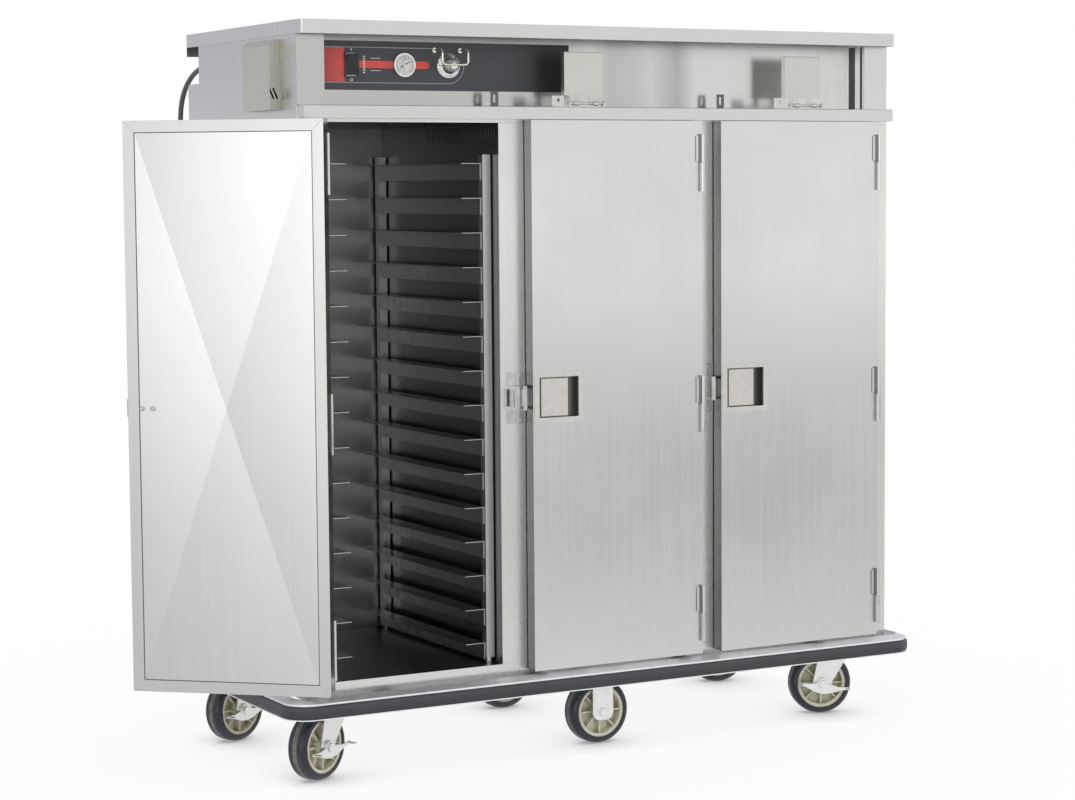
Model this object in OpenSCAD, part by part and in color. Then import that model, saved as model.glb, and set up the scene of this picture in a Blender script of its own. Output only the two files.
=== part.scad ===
// Enclosed meal tray cart: three insulated compartments on six casters.
// Millimetres. X runs along the front, Y to the back, Z up; the origin is on the floor,
// below the middle of the cabinet. The left door stands open, as the cart is shown.

/* [Doors] */
// Width of each door
door_w = 450; // [380:5:520]
// Height of each door
door_h = 1242; // [1000:2:1400]
// Thickness of a door
door_t = 32; // [30:1:45]
// Gap between neighbouring doors
door_gap = 52; // [50:1:80]
// Sheet thickness of the door pans
door_skin = 1.2; // [0.8:0.1:2]
// Width of the mitred border round a door's inner panel
door_border = 25; // [20:1:35]
// Height of the crossed creases pressed into a door's inner panel
crease_h = 5; // [1:0.5:6]
// Angle that the left door stands open
door_open = 221; // [0:1:221]

/* [Cabinet] */
// Depth of the cabinet body
body_d = 630; // [520:5:720]
// Front face left beside the outer doors
corner_w = 48; // [40:1:70]
// Thickness of the outer and inner sheets
sheet_t = 1.2; // [0.8:0.1:2]
// Thickness of the welded face frame
frame_t = 3; // [2:0.5:4]
// Height of the base between underside and compartment floor
base_h = 35; // [28:1:60]
// Overlap of a door on its opening, at each side
door_lap = 12; // [8:1:18]
// Overlap of a door on its opening, at the bottom
lap_bottom = 18; // [12:1:24]
// Overlap of a door on its opening, at the top
lap_top = 6; // [4:1:12]
// Depth of a compartment behind the face frame
liner_d = 600; // [480:5:680]
// Height of the header ledge above the doors
ledge_h = 28; // [20:1:40]
// How far the ledge and the roof cap stand out in front
front_lip = 30; // [20:1:33]
// Height of the open recess above the ledge
recess_h = 151; // [130:1:200]
// Depth of that recess behind the face frame
recess_d = 76; // [50:1:110]
// Width of the posts at the ends of the recess
post_w = 65; // [40:1:90]
// Height of the roof cap
cap_h = 30; // [20:1:50]
// Depth of the roof cap's lip at the rear
cap_rear_lip = 51; // [30:1:60]
// How far the upper rear wall is set in
rear_step = 67; // [40:1:90]
// Height of that upper rear wall, measured down from the cap
rear_step_h = 86; // [60:1:120]

/* [Tray slides] */
// Number of slide levels
slide_levels = 15; // [6:1:15]
// Pitch of the levels
slide_pitch = 77.5; // [70:0.1:80]
// Height of the lowest level above the compartment floor
slide_first = 44.5; // [42:0.5:90]
// Width of a slide's ledge
slide_ledge = 48; // [30:1:60]
// Depth of a slide's upright leg
slide_leg = 38; // [20:1:45]
// Sheet thickness of a slide
slide_t = 1.5; // [1:0.1:2]
// Length of a slide
slide_len = 546; // [400:2:560]
// Width of the square rack uprights
upright_w = 20; // [15:1:25]
// Wall of the rack uprights
upright_wall = 1.5; // [1:0.1:2]
// Clearance between a rack upright and the compartment wall
upright_gap = 3.5; // [1:0.5:8]
// Setback of the front uprights from the face frame
upright_front = 30; // [20:1:50]
// Clearance of the rear uprights from the rear sheet
upright_rear = 9; // [4:1:30]
// Setback of the slides from the face frame
slide_setback = 39; // [20:1:50]
// Width of a duct slot
duct_slot_w = 6; // [4:0.5:8]
// Pitch of the duct slots
duct_pitch = 13; // [11:0.5:18]
// Number of duct slots
duct_slots = 27; // [10:1:30]
// Height of a duct slot
duct_slot_h = 34; // [20:1:50]
// Setback of the first duct slot from the face frame
duct_start = 12; // [8:1:40]

/* [Hinges] */
// Height of a lift-off hinge
hinge_h = 132; // [90:1:160]
// Diameter of a hinge barrel
barrel_d = 11.4; // [9:0.1:11.6]
// Distance of the hinge axis from the door's edge
hinge_inset = 3; // [2:0.5:4]
// Distance of the hinge axis in front of the door's face
hinge_proud = 6; // [5.9:0.1:8]
// Diameter of a hinge pin
hinge_pin_d = 7; // [5:0.5:7]
// Thickness of a hinge leaf
leaf_t = 2; // [1.5:0.1:2.5]
// Width of a hinge leaf
leaf_w = 15; // [10:1:30]
// Distance of the outer hinges from the door's top and bottom
hinge_end = 96; // [80:1:200]
// Distance of the middle hinge below the middle of the door
hinge_drop = 33; // [0:1:60]

/* [Door latches] */
// Height of the latches above the floor
latch_z = 828; // [600:1:1000]
// Width of a latch's face flange
latch_w = 125; // [110:1:140]
// Height of a latch's face flange
latch_h = 115; // [100:1:130]
// Width of the flange round the finger recess
latch_rim = 12; // [8:1:16]
// Depth of the finger recess
latch_depth = 18; // [14:1:18]
// Gap for the fingers beside the paddle
finger_gap = 27; // [20:1:36]
// Distance of the latch from the door's edge
latch_edge = 4; // [3:0.5:12]
// Height of a strike plate
strike_h = 116; // [90:1:140]
// Width of a strike plate
strike_w = 24; // [18:0.5:24]
// How far a latch bolt stands out of its door
bolt_out = 5; // [2:0.5:6]

/* [Control panel] */
// Width of the control panel
panel_w = 640; // [560:5:700]
// Height of the control panel
panel_h = 107; // [95:1:112]
// Distance of the panel's left edge from the cabinet's middle
panel_left = 706; // [680:1:710]
// Diameter of the thermometer
gauge_d = 56; // [45:1:70]
// Diameter of the thermostat knob's skirt
knob_d = 58; // [45:1:64]
// Height of the thermostat knob
knob_h = 30; // [20:1:38]
// Diameter of the wire of the knob's guard
guard_wire = 5; // [3:0.5:7]
// How far the guard stands out from the panel
guard_out = 42; // [40:1:60]
// Radius of the guard's bends
guard_bend = 9; // [6:1:14]

/* [Transport latches] */
// Width of a flip plate
flip_w = 100; // [80:1:120]
// Height of a flip plate
flip_h = 98; // [80:1:110]
// Sheet thickness of a flip plate
flip_t = 2; // [1.5:0.1:3]
// Diameter of a flip plate's pin
flip_pin_d = 5; // [4:0.5:6]

/* [Vent hood] */
// Width of the vent hood
vent_w = 154; // [120:1:200]
// Height of the vent hood
vent_h = 152; // [120:1:152]
// How far the vent hood stands out from the side
vent_out = 26; // [20:1:40]
// Distance of the vent hood from the cabinet's front
vent_setback = 85; // [60:1:140]

/* [Bumper] */
// How far the bumper stands out from the body
bumper_out = 57; // [45:1:70]
// Depth of the bumper's section
bumper_depth = 28; // [24:1:36]
// Height of the bumper's rubber strip
bumper_strip = 28; // [20:1:36]
// Height of the bumper's underside above the floor
bumper_z = 156; // [150:1:158]
// Sheet thickness of the bumper rail
bumper_t = 2.5; // [1.5:0.5:3]
// Outer radius of the bumper's corners
bumper_r = 60; // [50:1:90]

/* [Casters] */
// Height of a caster from the floor to the base
caster_h = 190; // [186:1:220]
// Diameter of a wheel
wheel_d = 152; // [125:1:154]
// Width of a wheel
wheel_w = 50; // [38:1:54]
// Diameter of a hub
hub_d = 121; // [95:1:125]
// Number of ribs in a hub
hub_ribs = 8; // [5:1:10]
// Trail of a swivel caster
caster_trail = 42; // [30:1:50]
// Thickness of a fork leg
fork_t = 5; // [4:0.5:6]
// Diameter of an axle bolt
axle_d = 12; // [10:1:14]
// Inset of the outer casters' swivel axes from the cabinet's ends
caster_inset_x = 89; // [80:1:160]
// Inset of the casters' swivel axes from the cabinet's front and rear
caster_inset_y = 80; // [75:1:110]

/* [Power cord] */
// Diameter of the cord
cord_d = 12; // [9:0.5:13]
// Diameter of the coil at the middle of its turns
coil_mid_d = 133; // [120:1:144]
// Number of loops in the coil
coil_loops = 2; // [2:1:2]
// Distance of the strain relief from the cabinet's left end
gland_inset = 30; // [25:1:100]
// Distance of the strain relief below the roof cap
gland_drop = 47; // [40:1:60]
// Length of the strain relief
relief_len = 42; // [30:1:60]
// Length of the plug's body
plug_len = 70; // [60:1:80]
// Largest diameter of the plug
plug_d = 36; // [30:1:44]

/* [Fits] */
// Seam between sheets that are made apart
seam = 0.3; // [0.2:0.1:0.5]
// Running clearance round a pin, on the radius
run_fit = 0.08; // [0.02:0.01:0.1]
// Clearance between pieces that move past each other
move_gap = 0.5; // [0.3:0.1:1]

/* [Hidden] */
$fn = 48;
STEEL = "silver";
BRIGHT = "gainsboro";
DARK = "dimgray";
BLACK = "#26262a";

// ---- heights ----
door_z0 = caster_h + base_h - lap_bottom;
door_z1 = door_z0 + door_h;
open_z0 = caster_h + base_h;
open_z1 = door_z1 - lap_top;
ledge_lift = 2;
ledge_z0 = door_z1 + ledge_lift;
ledge_z1 = ledge_z0 + ledge_h;
cap_z0 = ledge_z1 + recess_h;
cap_z1 = cap_z0 + cap_h;
roof_under = cap_z1 - sheet_t;
rear_z = cap_z0 - rear_step_h;

// ---- widths and depths ----
door_pitch = door_w + door_gap;
body_x = 1.5 * door_w + door_gap + corner_w;
front_y = -body_d / 2;
back_y = body_d / 2;
upper_back_y = back_y - rear_step;
frame_back_y = front_y + frame_t;
gasket_gap = 3;
door_back_y = front_y - gasket_gap;
door_front_y = door_back_y - door_t;
ledge_y = front_y - front_lip;
recess_y = front_y + recess_d;
open_x = door_w / 2 - door_lap;
liner_back_y = frame_back_y + liner_d;
side_fit = 3;
cap_over = 2;

// ---- doors ----
BAYS = [0, 1, 2];
hand = [-1, 1, 1];
function bay_x(i) = (i - 1) * door_pitch;
function bay_angle(i) = i == 0 ? -door_open : 0;
hinge_x = door_w / 2 - hinge_inset;
hinge_y = door_front_y - hinge_proud;
hinge_zs = [door_z1 - hinge_end, (door_z0 + door_z1) / 2 - hinge_drop, door_z0 + hinge_end];
leaf_end = 4;
leaf_h = hinge_h / 2 - 2 * leaf_end;

// ---- latches, seen on a door with its hinges at the right ----
edge_x = -door_w / 2;
latch_x0 = edge_x + latch_edge;
latch_x1 = latch_x0 + latch_w;
pocket_x0 = latch_x0 + latch_rim;
pocket_x1 = latch_x1 - latch_rim;
pocket_z0 = latch_z - latch_h / 2 + latch_rim;
pocket_z1 = latch_z + latch_h / 2 - latch_rim;
flange_t = 1.5;
pocket_wall = 1.5;
pocket_back_y = door_front_y + latch_depth;
paddle_axis_x = pocket_x0 + 8;
paddle_axis_y = door_front_y + 6;
paddle_knuckle_r = 4;
paddle_pin_d = 4;
paddle_t = 2.5;
bolt_t = 8;
bolt_h = 40;
bolt_len = 24;
bolt_y0 = pocket_back_y + pocket_wall + move_gap;
stud_xs = [edge_x + 27 + 5, edge_x + 57];
stud_d = 6;
nut_seat = 0.8;
strike_x1 = edge_x - 1.5;
strike_x0 = strike_x1 - strike_w;
strike_t = 2;
keeper_w = 10;
keeper_h = 55;
keeper_out = 26;
keeper_x0 = strike_x0 + 4;

// ---- racks ----
rack_x = open_x - upright_gap - upright_w;
slide_front_y = frame_back_y + slide_setback;
upright_ys = [frame_back_y + upright_front, liner_back_y - upright_w - upright_rear];
upright_over = 19;
upright_top = open_z0 + slide_first + (slide_levels - 1) * slide_pitch + upright_over;
foot_h = 12;

// ---- control recess ----
panel_t = 2;
panel_z0 = ledge_z1 + 36;
panel_face_y = recess_y - panel_t;
control_z = panel_z0 + panel_h / 2 + 2;
rocker_x = 94 - panel_left;
gauge_x = 220 - panel_left;
knob_x = 331 - panel_left;
knob_stem_d = 6;
rocker_w = 28;
rocker_h = 50;
rocker_pin_d = 3;

// ---- transport latches ----
flip_x = [-71, door_pitch + 26];
flip_pin_y = ledge_y + 9;
flip_pin_z = ledge_z1 + 8;
flip_knuckle_r = 5;
flip_back = 19;
eye_x = [222 - door_pitch, 320];
eye_y = front_y + 34;

// ---- bumper ----
bumper_x = body_x + bumper_out;
bumper_y = back_y + bumper_out + 1;
rail_z1 = bumper_z + bumper_strip + 16;

// ---- casters ----
caster_x = body_x - caster_inset_x;
caster_y = back_y - caster_inset_y;
wheel_r = wheel_d / 2;
plate_t = 6;
fork_gap = wheel_w + 8;
fork_out = fork_gap / 2 + fork_t;
crown_z1 = caster_h - plate_t - 8;
crown_t = 6;
kingpin_d = 16;
race_d = 72;
hub_half = fork_gap / 2 - move_gap;
pedal_boss = 7;
crown_x = [-46, 34];
pedal_free = -4;
pedal_pressed = 8;
// place and yaw of each caster, whether it swivels, and the tilt of its brake pedal
casters = [
    ["front_left", -caster_x, -caster_y, 26, true, pedal_free],
    ["front_right", caster_x, -caster_y, -20, true, pedal_pressed],
    ["rear_left", -caster_x, caster_y, 21, true, pedal_free],
    ["rear_right", caster_x, caster_y, -20, true, pedal_free],
    ["front_middle", 0, -caster_y, 0, false],
    ["rear_middle", 0, caster_y, 0, false],
];

// ---- cord ----
cord_r = cord_d / 2;
cord_x = gland_inset - body_x;
cord_z = cap_z0 - gland_drop;
cord_sides = 8;
coil_step = cord_d + 0.7;
coil_r0 = coil_mid_d / 2 + coil_step / 2;
coil_lead = 12;
loop_rings = 24;
coil_tail = 44;

// the cord's route from the wall to the coil: across and back from the strain relief's seat,
// and above the floor, as set for a relief at this height
route_top = 1583;
cord_route = [
    [0, 42, 1583], [0, 55, 1583], [-2, 80, 1577], [-6, 102, 1566], [-11, 120, 1549],
    [-16, 132, 1528], [-20, 139, 1502], [-22, 142, 1472], [-23, 143, 1424], [-17, 144, 1300],
    [-10, 145, 1172], [-3, 146, 1050], [5, 147, 938], [15, 149, 812], [25, 151, 700],
    [45, 155, 515], [65, 160, 375], [80, 164, 296], [95, 168, 228], [115, 172, 158],
    [135, 176, 106], [155, 180, 68], [175, 184, 41], [195, 188, 23], [217, 192, 11],
    [240, 195, 6.5], [265, 197, 6], [305, 198, 6], [365, 198, 6], [435, 198, 6], [515, 198, 6],
    [585, 198, 6], [618, 198, 6],
];
route_end = cord_route[len(cord_route) - 1];
coil_x = cord_x + route_end[0] + coil_lead;
coil_y = upper_back_y + route_end[1];

// ---- shared shapes ----
// a block between two corners
module slab(x, y, z) {
    translate([x[0], y[0], z[0]]) cube([x[1] - x[0], y[1] - y[0], z[1] - z[0]]);
}

// a round rod along X, Y or Z from a point
module rod_x(d, p, len) {
    translate(p) rotate([0, 90, 0]) cylinder(d = d, h = len);
}
module rod_y(d, p, len) {
    translate(p) rotate([-90, 0, 0]) cylinder(d = d, h = len);
}
module rod_z(d, p, len) {
    translate(p) cylinder(d = d, h = len);
}

// a profile drawn in Y and Z, run along X between two places
module along_x(x0, x1) {
    translate([x0, 0, 0]) rotate([90, 0, 90]) linear_extrude(x1 - x0) children();
}

// a profile drawn in X and Z, run along Y between two places
module along_y(y0, y1) {
    translate([0, y1, 0]) rotate([90, 0, 0]) linear_extrude(y1 - y0) children();
}

// ---- cabinet ----
module face_frame() {
    color(STEEL) {
        slab([-body_x, body_x], [front_y, frame_back_y], [caster_h, open_z0 - seam]);
        slab([-body_x, body_x], [front_y, frame_back_y], [open_z1 + seam, ledge_z1 - sheet_t]);
        for (s = [-1, 1]) {
            inner = door_pitch + open_x;
            slab(s < 0 ? [-body_x, -inner] : [inner, body_x], [front_y, frame_back_y], [open_z0, open_z1]);
            slab([s * door_pitch / 2 - door_pitch / 2 + open_x, s * door_pitch / 2 + door_pitch / 2 - open_x],
                [front_y, frame_back_y], [open_z0, open_z1]);
        }
    }
}

// one side sheet, notched at the rear above the step
module side_sheet() {
    along_x(body_x - sheet_t, body_x)
        polygon([
            [frame_back_y, caster_h], [back_y, caster_h], [back_y, rear_z],
            [upper_back_y, rear_z], [upper_back_y, roof_under], [frame_back_y, roof_under],
        ]);
}

module cabinet_skins() {
    inner = body_x - sheet_t - seam;
    color(STEEL) {
        side_sheet();
        mirror([1, 0, 0]) side_sheet();
        slab([-inner, inner], [back_y - sheet_t, back_y], [caster_h, rear_z - sheet_t - seam]);
        slab([-inner, inner], [upper_back_y, back_y], [rear_z - sheet_t, rear_z]);
        slab([-inner, inner], [upper_back_y - sheet_t, upper_back_y], [rear_z + seam, roof_under]);
        slab([-inner, inner], [frame_back_y, back_y - sheet_t - seam], [caster_h, caster_h + sheet_t]);
    }
}

// the row of air slots near the top of a compartment's side wall
module duct_slots() {
    for (k = [0:duct_slots - 1])
        translate([0, frame_back_y + duct_start + k * duct_pitch, open_z1 - duct_slot_w - duct_slot_h])
            slab([-1, sheet_t + 1], [0, duct_slot_w], [0, duct_slot_h]);
}

module compartment_liners() {
    color(DARK)
        for (i = BAYS)
            translate([bay_x(i), 0, 0]) {
                slab([-open_x - sheet_t, -open_x], [frame_back_y, liner_back_y], [open_z0, open_z1]);
                difference() {
                    slab([open_x, open_x + sheet_t], [frame_back_y, liner_back_y], [open_z0, open_z1]);
                    translate([open_x, 0, 0]) duct_slots();
                }
                slab([-open_x + seam, open_x - seam], [liner_back_y - sheet_t, liner_back_y], [open_z0, open_z1]);
                slab([-open_x - sheet_t, open_x + sheet_t], [frame_back_y, liner_back_y],
                    [open_z0 - sheet_t, open_z0 - seam]);
                slab([-open_x - sheet_t, open_x + sheet_t], [frame_back_y, liner_back_y],
                    [open_z1 + seam, open_z1 + sheet_t + seam]);
            }
}

module roof_cap() {
    x = body_x + cap_over;
    y1 = back_y + cap_over;
    corner_r = 6;
    color(BRIGHT)
        difference() {
            union() {
                translate([0, 0, cap_z0]) linear_extrude(cap_h) cap_outline(x, ledge_y, y1, corner_r);
                slab([-x, x], [y1 - sheet_t, y1], [cap_z1 - cap_rear_lip, cap_z1]);
            }
            translate([0, 0, cap_z0 - 1]) linear_extrude(cap_h - sheet_t + 1)
                cap_outline(x - sheet_t, ledge_y + sheet_t, y1 - sheet_t, corner_r - sheet_t);
        }
}

// a rectangle with round front corners
module cap_outline(x, y0, y1, r) {
    translate([-x, y0 + r]) square([2 * x, y1 - y0 - r]);
    translate([-x + r, y0]) square([2 * x - 2 * r, r + 0.01]);
    for (s = [-1, 1]) translate([s * (x - r), y0 + r]) circle(r);
}

module header_ledge() {
    x = body_x - side_fit;
    nose = 3;
    color(BRIGHT)
        along_x(-x, x)
            difference() {
                union() {
                    translate([ledge_y, ledge_z0]) square([front_lip, ledge_h - nose]);
                    translate([ledge_y + nose, ledge_z0]) square([recess_d + front_lip - nose, ledge_h]);
                    translate([ledge_y + nose, ledge_z1 - nose]) circle(nose);
                }
                translate([ledge_y + sheet_t, ledge_z0 + sheet_t])
                    square([front_lip - sheet_t + recess_d + 1, ledge_h - sheet_t - nose]);
                translate([ledge_y + nose, ledge_z0 + sheet_t])
                    square([front_lip - nose + recess_d + 1, ledge_h - 2 * sheet_t]);
                translate([front_y, ledge_z0 - 1]) square([recess_d + 1, ledge_h - sheet_t + 1]);
            }
}

module recess_walls() {
    x = body_x - sheet_t - seam;
    color(STEEL) {
        slab([-x, x], [recess_y, recess_y + sheet_t], [ledge_z1, roof_under]);
        for (s = [-1, 1]) {
            inner = body_x - post_w;
            slab(s < 0 ? [-body_x, -inner] : [inner, body_x], [front_y, frame_back_y], [ledge_z1, roof_under]);
            slab(s < 0 ? [-inner - sheet_t, -inner] : [inner, inner + sheet_t],
                [frame_back_y + seam, recess_y - seam], [ledge_z1, roof_under]);
        }
    }
}

// a square tube along X
module tube_x(x, y, z, wall) {
    difference() {
        slab(x, y, z);
        slab([x[0] - 1, x[1] + 1], [y[0] + wall, y[1] - wall], [z[0] + wall, z[1] - wall]);
    }
}

module base_frame() {
    z = [caster_h + sheet_t, open_z0 - sheet_t];
    x = body_x - sheet_t - seam;
    rail_w = 60;
    wall = 2;
    strap_inset = 110;
    color(DARK) {
        for (s = [-1, 1]) {
            y = s * caster_y;
            tube_x([-x, x], [y - rail_w / 2, y + rail_w / 2], z, wall);
            // angle straps that carry the bumper
            for (k = [-1, -0.34, 0.34, 1]) {
                strap_x = k * (caster_x - strap_inset);
                y0 = s * (back_y - 30);
                y1 = s * (bumper_y - bumper_depth);
                slab([strap_x - 20, strap_x + 20], [min(y0, y1), max(y0, y1)], [caster_h - 4, caster_h]);
            }
            x0 = s * (body_x - 30);
            x1 = s * (bumper_x - bumper_depth);
            for (t = [-1, 1])
                slab([min(x0, x1), max(x0, x1)], [t * 110 - 20, t * 110 + 20], [caster_h - 4, caster_h]);
        }
        // plates that the casters are bolted to
        for (c = casters)
            if (c[4]) translate([c[1], c[2], 0]) swivel_plate();
    }
}

// the fixed top plate of a swivel caster, with its kingpin
module swivel_plate() {
    difference() {
        slab([-57, 57], [-50, 50], [caster_h - plate_t, caster_h]);
        for (x = [-44, 44], y = [-37, 37]) rod_z(9, [x, y, caster_h - plate_t - 1], plate_t + 2);
    }
    rod_z(race_d, [0, 0, crown_z1 + move_gap], caster_h - plate_t - crown_z1 - move_gap);
    rod_z(kingpin_d, [0, 0, crown_z1 - crown_t - 6], 20);
    rod_z(kingpin_d + 10, [0, 0, crown_z1 - crown_t - 6], 5.5);
}

// ---- hinges ----
// the frame's half: pin, lower barrel and the arm round the door's edge
module hinge_lower(z) {
    arm = [hinge_x + hinge_inset + 1.5, hinge_x + hinge_inset + 1.5 + leaf_t];
    span = [z - hinge_h / 2 + leaf_end, z - leaf_end];
    rod_z(barrel_d, [hinge_x, hinge_y, z - hinge_h / 2], hinge_h / 2 - seam);
    slab([hinge_x, arm[1]], [hinge_y, hinge_y + leaf_t], span);
    slab(arm, [hinge_y, front_y], span);
    slab([arm[0], arm[1] + 5], [front_y - leaf_t, front_y], span);
    rod_z(hinge_pin_d, [hinge_x, hinge_y, z - 6], 42);
}

// the door's half: upper barrel and its leaf on the door's face
module hinge_upper(z) {
    difference() {
        union() {
            rod_z(barrel_d, [hinge_x, hinge_y, z], hinge_h / 2);
            slab([hinge_x - leaf_w, hinge_x], [door_front_y - leaf_t - seam, door_front_y - seam],
                [z + leaf_end, z + leaf_end + leaf_h]);
        }
        rod_z(hinge_pin_d + 2 * run_fit, [hinge_x, hinge_y, z - 1], 40);
    }
}

// a shape on the closed door of one compartment, drawn with its hinges at the right
module on_bay(i) {
    translate([bay_x(i), 0, 0]) mirror([hand[i] < 0 ? 1 : 0, 0, 0]) children();
}

// the same, turned with the door
module on_door(i) {
    axis = [bay_x(i) + hand[i] * hinge_x, hinge_y, 0];
    translate(axis) rotate([0, 0, bay_angle(i)]) translate(-axis) on_bay(i) children();
}

// ---- doors ----
module door_pan(i) {
    x = door_w / 2;
    color(STEEL) on_door(i) {
        difference() {
            slab([-x, x], [door_front_y, door_back_y], [door_z0, door_z1]);
            slab([-x + door_skin, x - door_skin], [door_front_y + door_skin, door_back_y - door_skin],
                [door_z0 + door_skin, door_z1 - door_skin]);
            slab([-x + door_border, x - door_border], [door_back_y - door_skin - 1, door_back_y + 1],
                [door_z0 + door_border, door_z1 - door_border]);
            slab([pocket_x0 - 2, pocket_x1 + 2], [door_front_y - 1, door_front_y + 3], [pocket_z0 - 2, pocket_z1 + 2]);
            slab([-x - 1, -x + 3], [bolt_y0 - 1, bolt_y0 + bolt_t + 1],
                [latch_z - bolt_h / 2 - 1, latch_z + bolt_h / 2 + 1]);
        }
        for (z = hinge_zs) hinge_upper(z);
    }
}

// a low pyramid on a rectangle in X and Z, with its top towards the back
module pyramid(x, z0, z1, y, rise) {
    polyhedron(
        points = [[-x, y, z0], [x, y, z0], [x, y, z1], [-x, y, z1], [0, y + rise, (z0 + z1) / 2]],
        faces = [[0, 3, 2, 1], [0, 1, 4], [1, 2, 4], [2, 3, 4], [3, 0, 4]]);
}

// the inner panel: a sheet pressed into four fields, so that its creases cross
module door_liner(i) {
    seat = 8;
    x = door_w / 2 - door_border;
    z0 = door_z0 + door_border;
    z1 = door_z1 - door_border;
    y1 = door_back_y - door_skin;
    y0 = y1 - door_skin;
    color(BRIGHT) on_door(i)
        difference() {
            union() {
                slab([-x - seat, x + seat], [y0, y1], [z0 - seat, z1 + seat]);
                pyramid(x - 1, z0 + 1, z1 - 1, y1, crease_h);
            }
            pyramid(x - 1, z0 + 1, z1 - 1, y0 - 0.01, crease_h);
            for (s = stud_xs) rod_y(stud_d + 1, [s, y0 - 1, latch_z], 12);
        }
}

// ---- latches ----
module latch_housing(i) {
    flange = [[latch_x0, latch_x1], [latch_z - latch_h / 2, latch_z + latch_h / 2]];
    color(BRIGHT) on_door(i) {
        difference() {
            union() {
                slab(flange[0], [door_front_y - flange_t, door_front_y], flange[1]);
                slab([pocket_x0 - pocket_wall, pocket_x1 + pocket_wall], [door_front_y, pocket_back_y + pocket_wall],
                    [pocket_z0 - pocket_wall, pocket_z1 + pocket_wall]);
            }
            slab([pocket_x0, pocket_x1], [door_front_y - flange_t - 1, pocket_back_y], [pocket_z0, pocket_z1]);
            rod_z(paddle_pin_d + 2 * run_fit, [paddle_axis_x, paddle_axis_y, pocket_z0 - 3],
                pocket_z1 - pocket_z0 + 6);
        }
        // studs through the inner panel, with dome nuts
        for (s = stud_xs) {
            rod_y(stud_d, [s, pocket_back_y + pocket_wall, latch_z], door_back_y - pocket_back_y);
            translate([s, door_back_y - door_skin + nut_seat, latch_z]) rotate([-90, 0, 0]) dome_nut();
        }
    }
}

// a hexagon nut with a domed end
module dome_nut() {
    cylinder(d = 12, h = 4, $fn = 6);
    translate([0, 0, 4]) intersection() {
        sphere(5);
        cylinder(r = 6, h = 6);
    }
}

// the paddle: a plate with a rolled grip, turning on a pin in the housing
module latch_paddle(i) {
    x0 = paddle_axis_x - 5;
    x1 = pocket_x1 - finger_gap;
    z0 = pocket_z0 + 1;
    z1 = pocket_z1 - 1;
    y0 = door_front_y + 0.5;
    grip_r = 4;
    color(STEEL) on_door(i) {
        slab([x0, x1], [y0, y0 + paddle_t], [z0, z1]);
        rod_z(2 * grip_r, [x1 - grip_r, y0 + grip_r, z0], z1 - z0);
        rod_z(2 * paddle_knuckle_r, [paddle_axis_x, paddle_axis_y, z0], z1 - z0);
        rod_z(paddle_pin_d, [paddle_axis_x, paddle_axis_y, pocket_z0 - pocket_wall],
            pocket_z1 - pocket_z0 + 2 * pocket_wall);
    }
}

// the bolt that the paddle draws back: square, with a slanted nose
module latch_bolt(i) {
    x0 = edge_x - bolt_out;
    x1 = x0 + bolt_len;
    y0 = bolt_y0;
    y1 = bolt_y0 + bolt_t;
    color(STEEL) on_door(i)
        translate([0, 0, latch_z - bolt_h / 2]) linear_extrude(bolt_h)
            polygon([[x0, y0], [x1, y0], [x1, y1], [x0 + 4, y1], [x0, y1 - 4]]);
}

// the plate on the post that a latch's bolt meets, with its keeper bar and two screws
module door_strike() {
    screw_x = strike_x0 + strike_w / 2;
    bar_y = front_y - strike_t - keeper_out;
    difference() {
        union() {
            slab([strike_x0, strike_x1], [front_y - strike_t, front_y],
                [latch_z - strike_h / 2, latch_z + strike_h / 2]);
            slab([keeper_x0, keeper_x0 + keeper_w], [bar_y, front_y - strike_t],
                [latch_z - keeper_h / 2, latch_z + keeper_h / 2]);
            for (s = [-1, 1])
                rod_y(7, [screw_x, front_y - strike_t - 2, latch_z + s * (strike_h / 2 - 8)], 2);
        }
        slab([keeper_x0 - 1, keeper_x0 + keeper_w + 1], [bar_y + 6, front_y - strike_t - 1],
            [latch_z - keeper_h / 2 + 8, latch_z + keeper_h / 2 - 8]);
    }
}

// what is fixed to the face frame for each door: lower hinge halves and the strike
module door_hardware() {
    color(BRIGHT)
        for (i = BAYS) on_bay(i) {
            for (z = hinge_zs) hinge_lower(z);
            door_strike();
        }
}

// ---- racks ----
// one slide: a ledge for the tray's rim and a leg down the rack
module tray_slide(z) {
    x = rack_x - seam;
    along_y(slide_front_y, slide_front_y + slide_len)
        polygon([
            [x, z - slide_leg], [x, z], [x - slide_ledge, z], [x - slide_ledge, z - slide_t],
            [x - slide_t, z - slide_t], [x - slide_t, z - slide_leg],
        ]);
}

module rack_upright(y) {
    difference() {
        slab([rack_x, rack_x + upright_w], [y, y + upright_w], [open_z0 + foot_h, upright_top]);
        slab([rack_x + upright_wall, rack_x + upright_w - upright_wall],
            [y + upright_wall, y + upright_w - upright_wall], [open_z0 + foot_h + 2, upright_top + 1]);
    }
    rod_z(upright_w - 4, [rack_x + upright_w / 2, y + upright_w / 2, open_z0], foot_h);
}

module tray_racks() {
    color(BRIGHT)
        for (i = BAYS, s = [0, 1]) translate([bay_x(i), 0, 0]) mirror([s, 0, 0]) {
            for (k = [0:slide_levels - 1]) tray_slide(open_z0 + slide_first + k * slide_pitch);
            for (y = upright_ys) rack_upright(y);
        }
}

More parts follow.
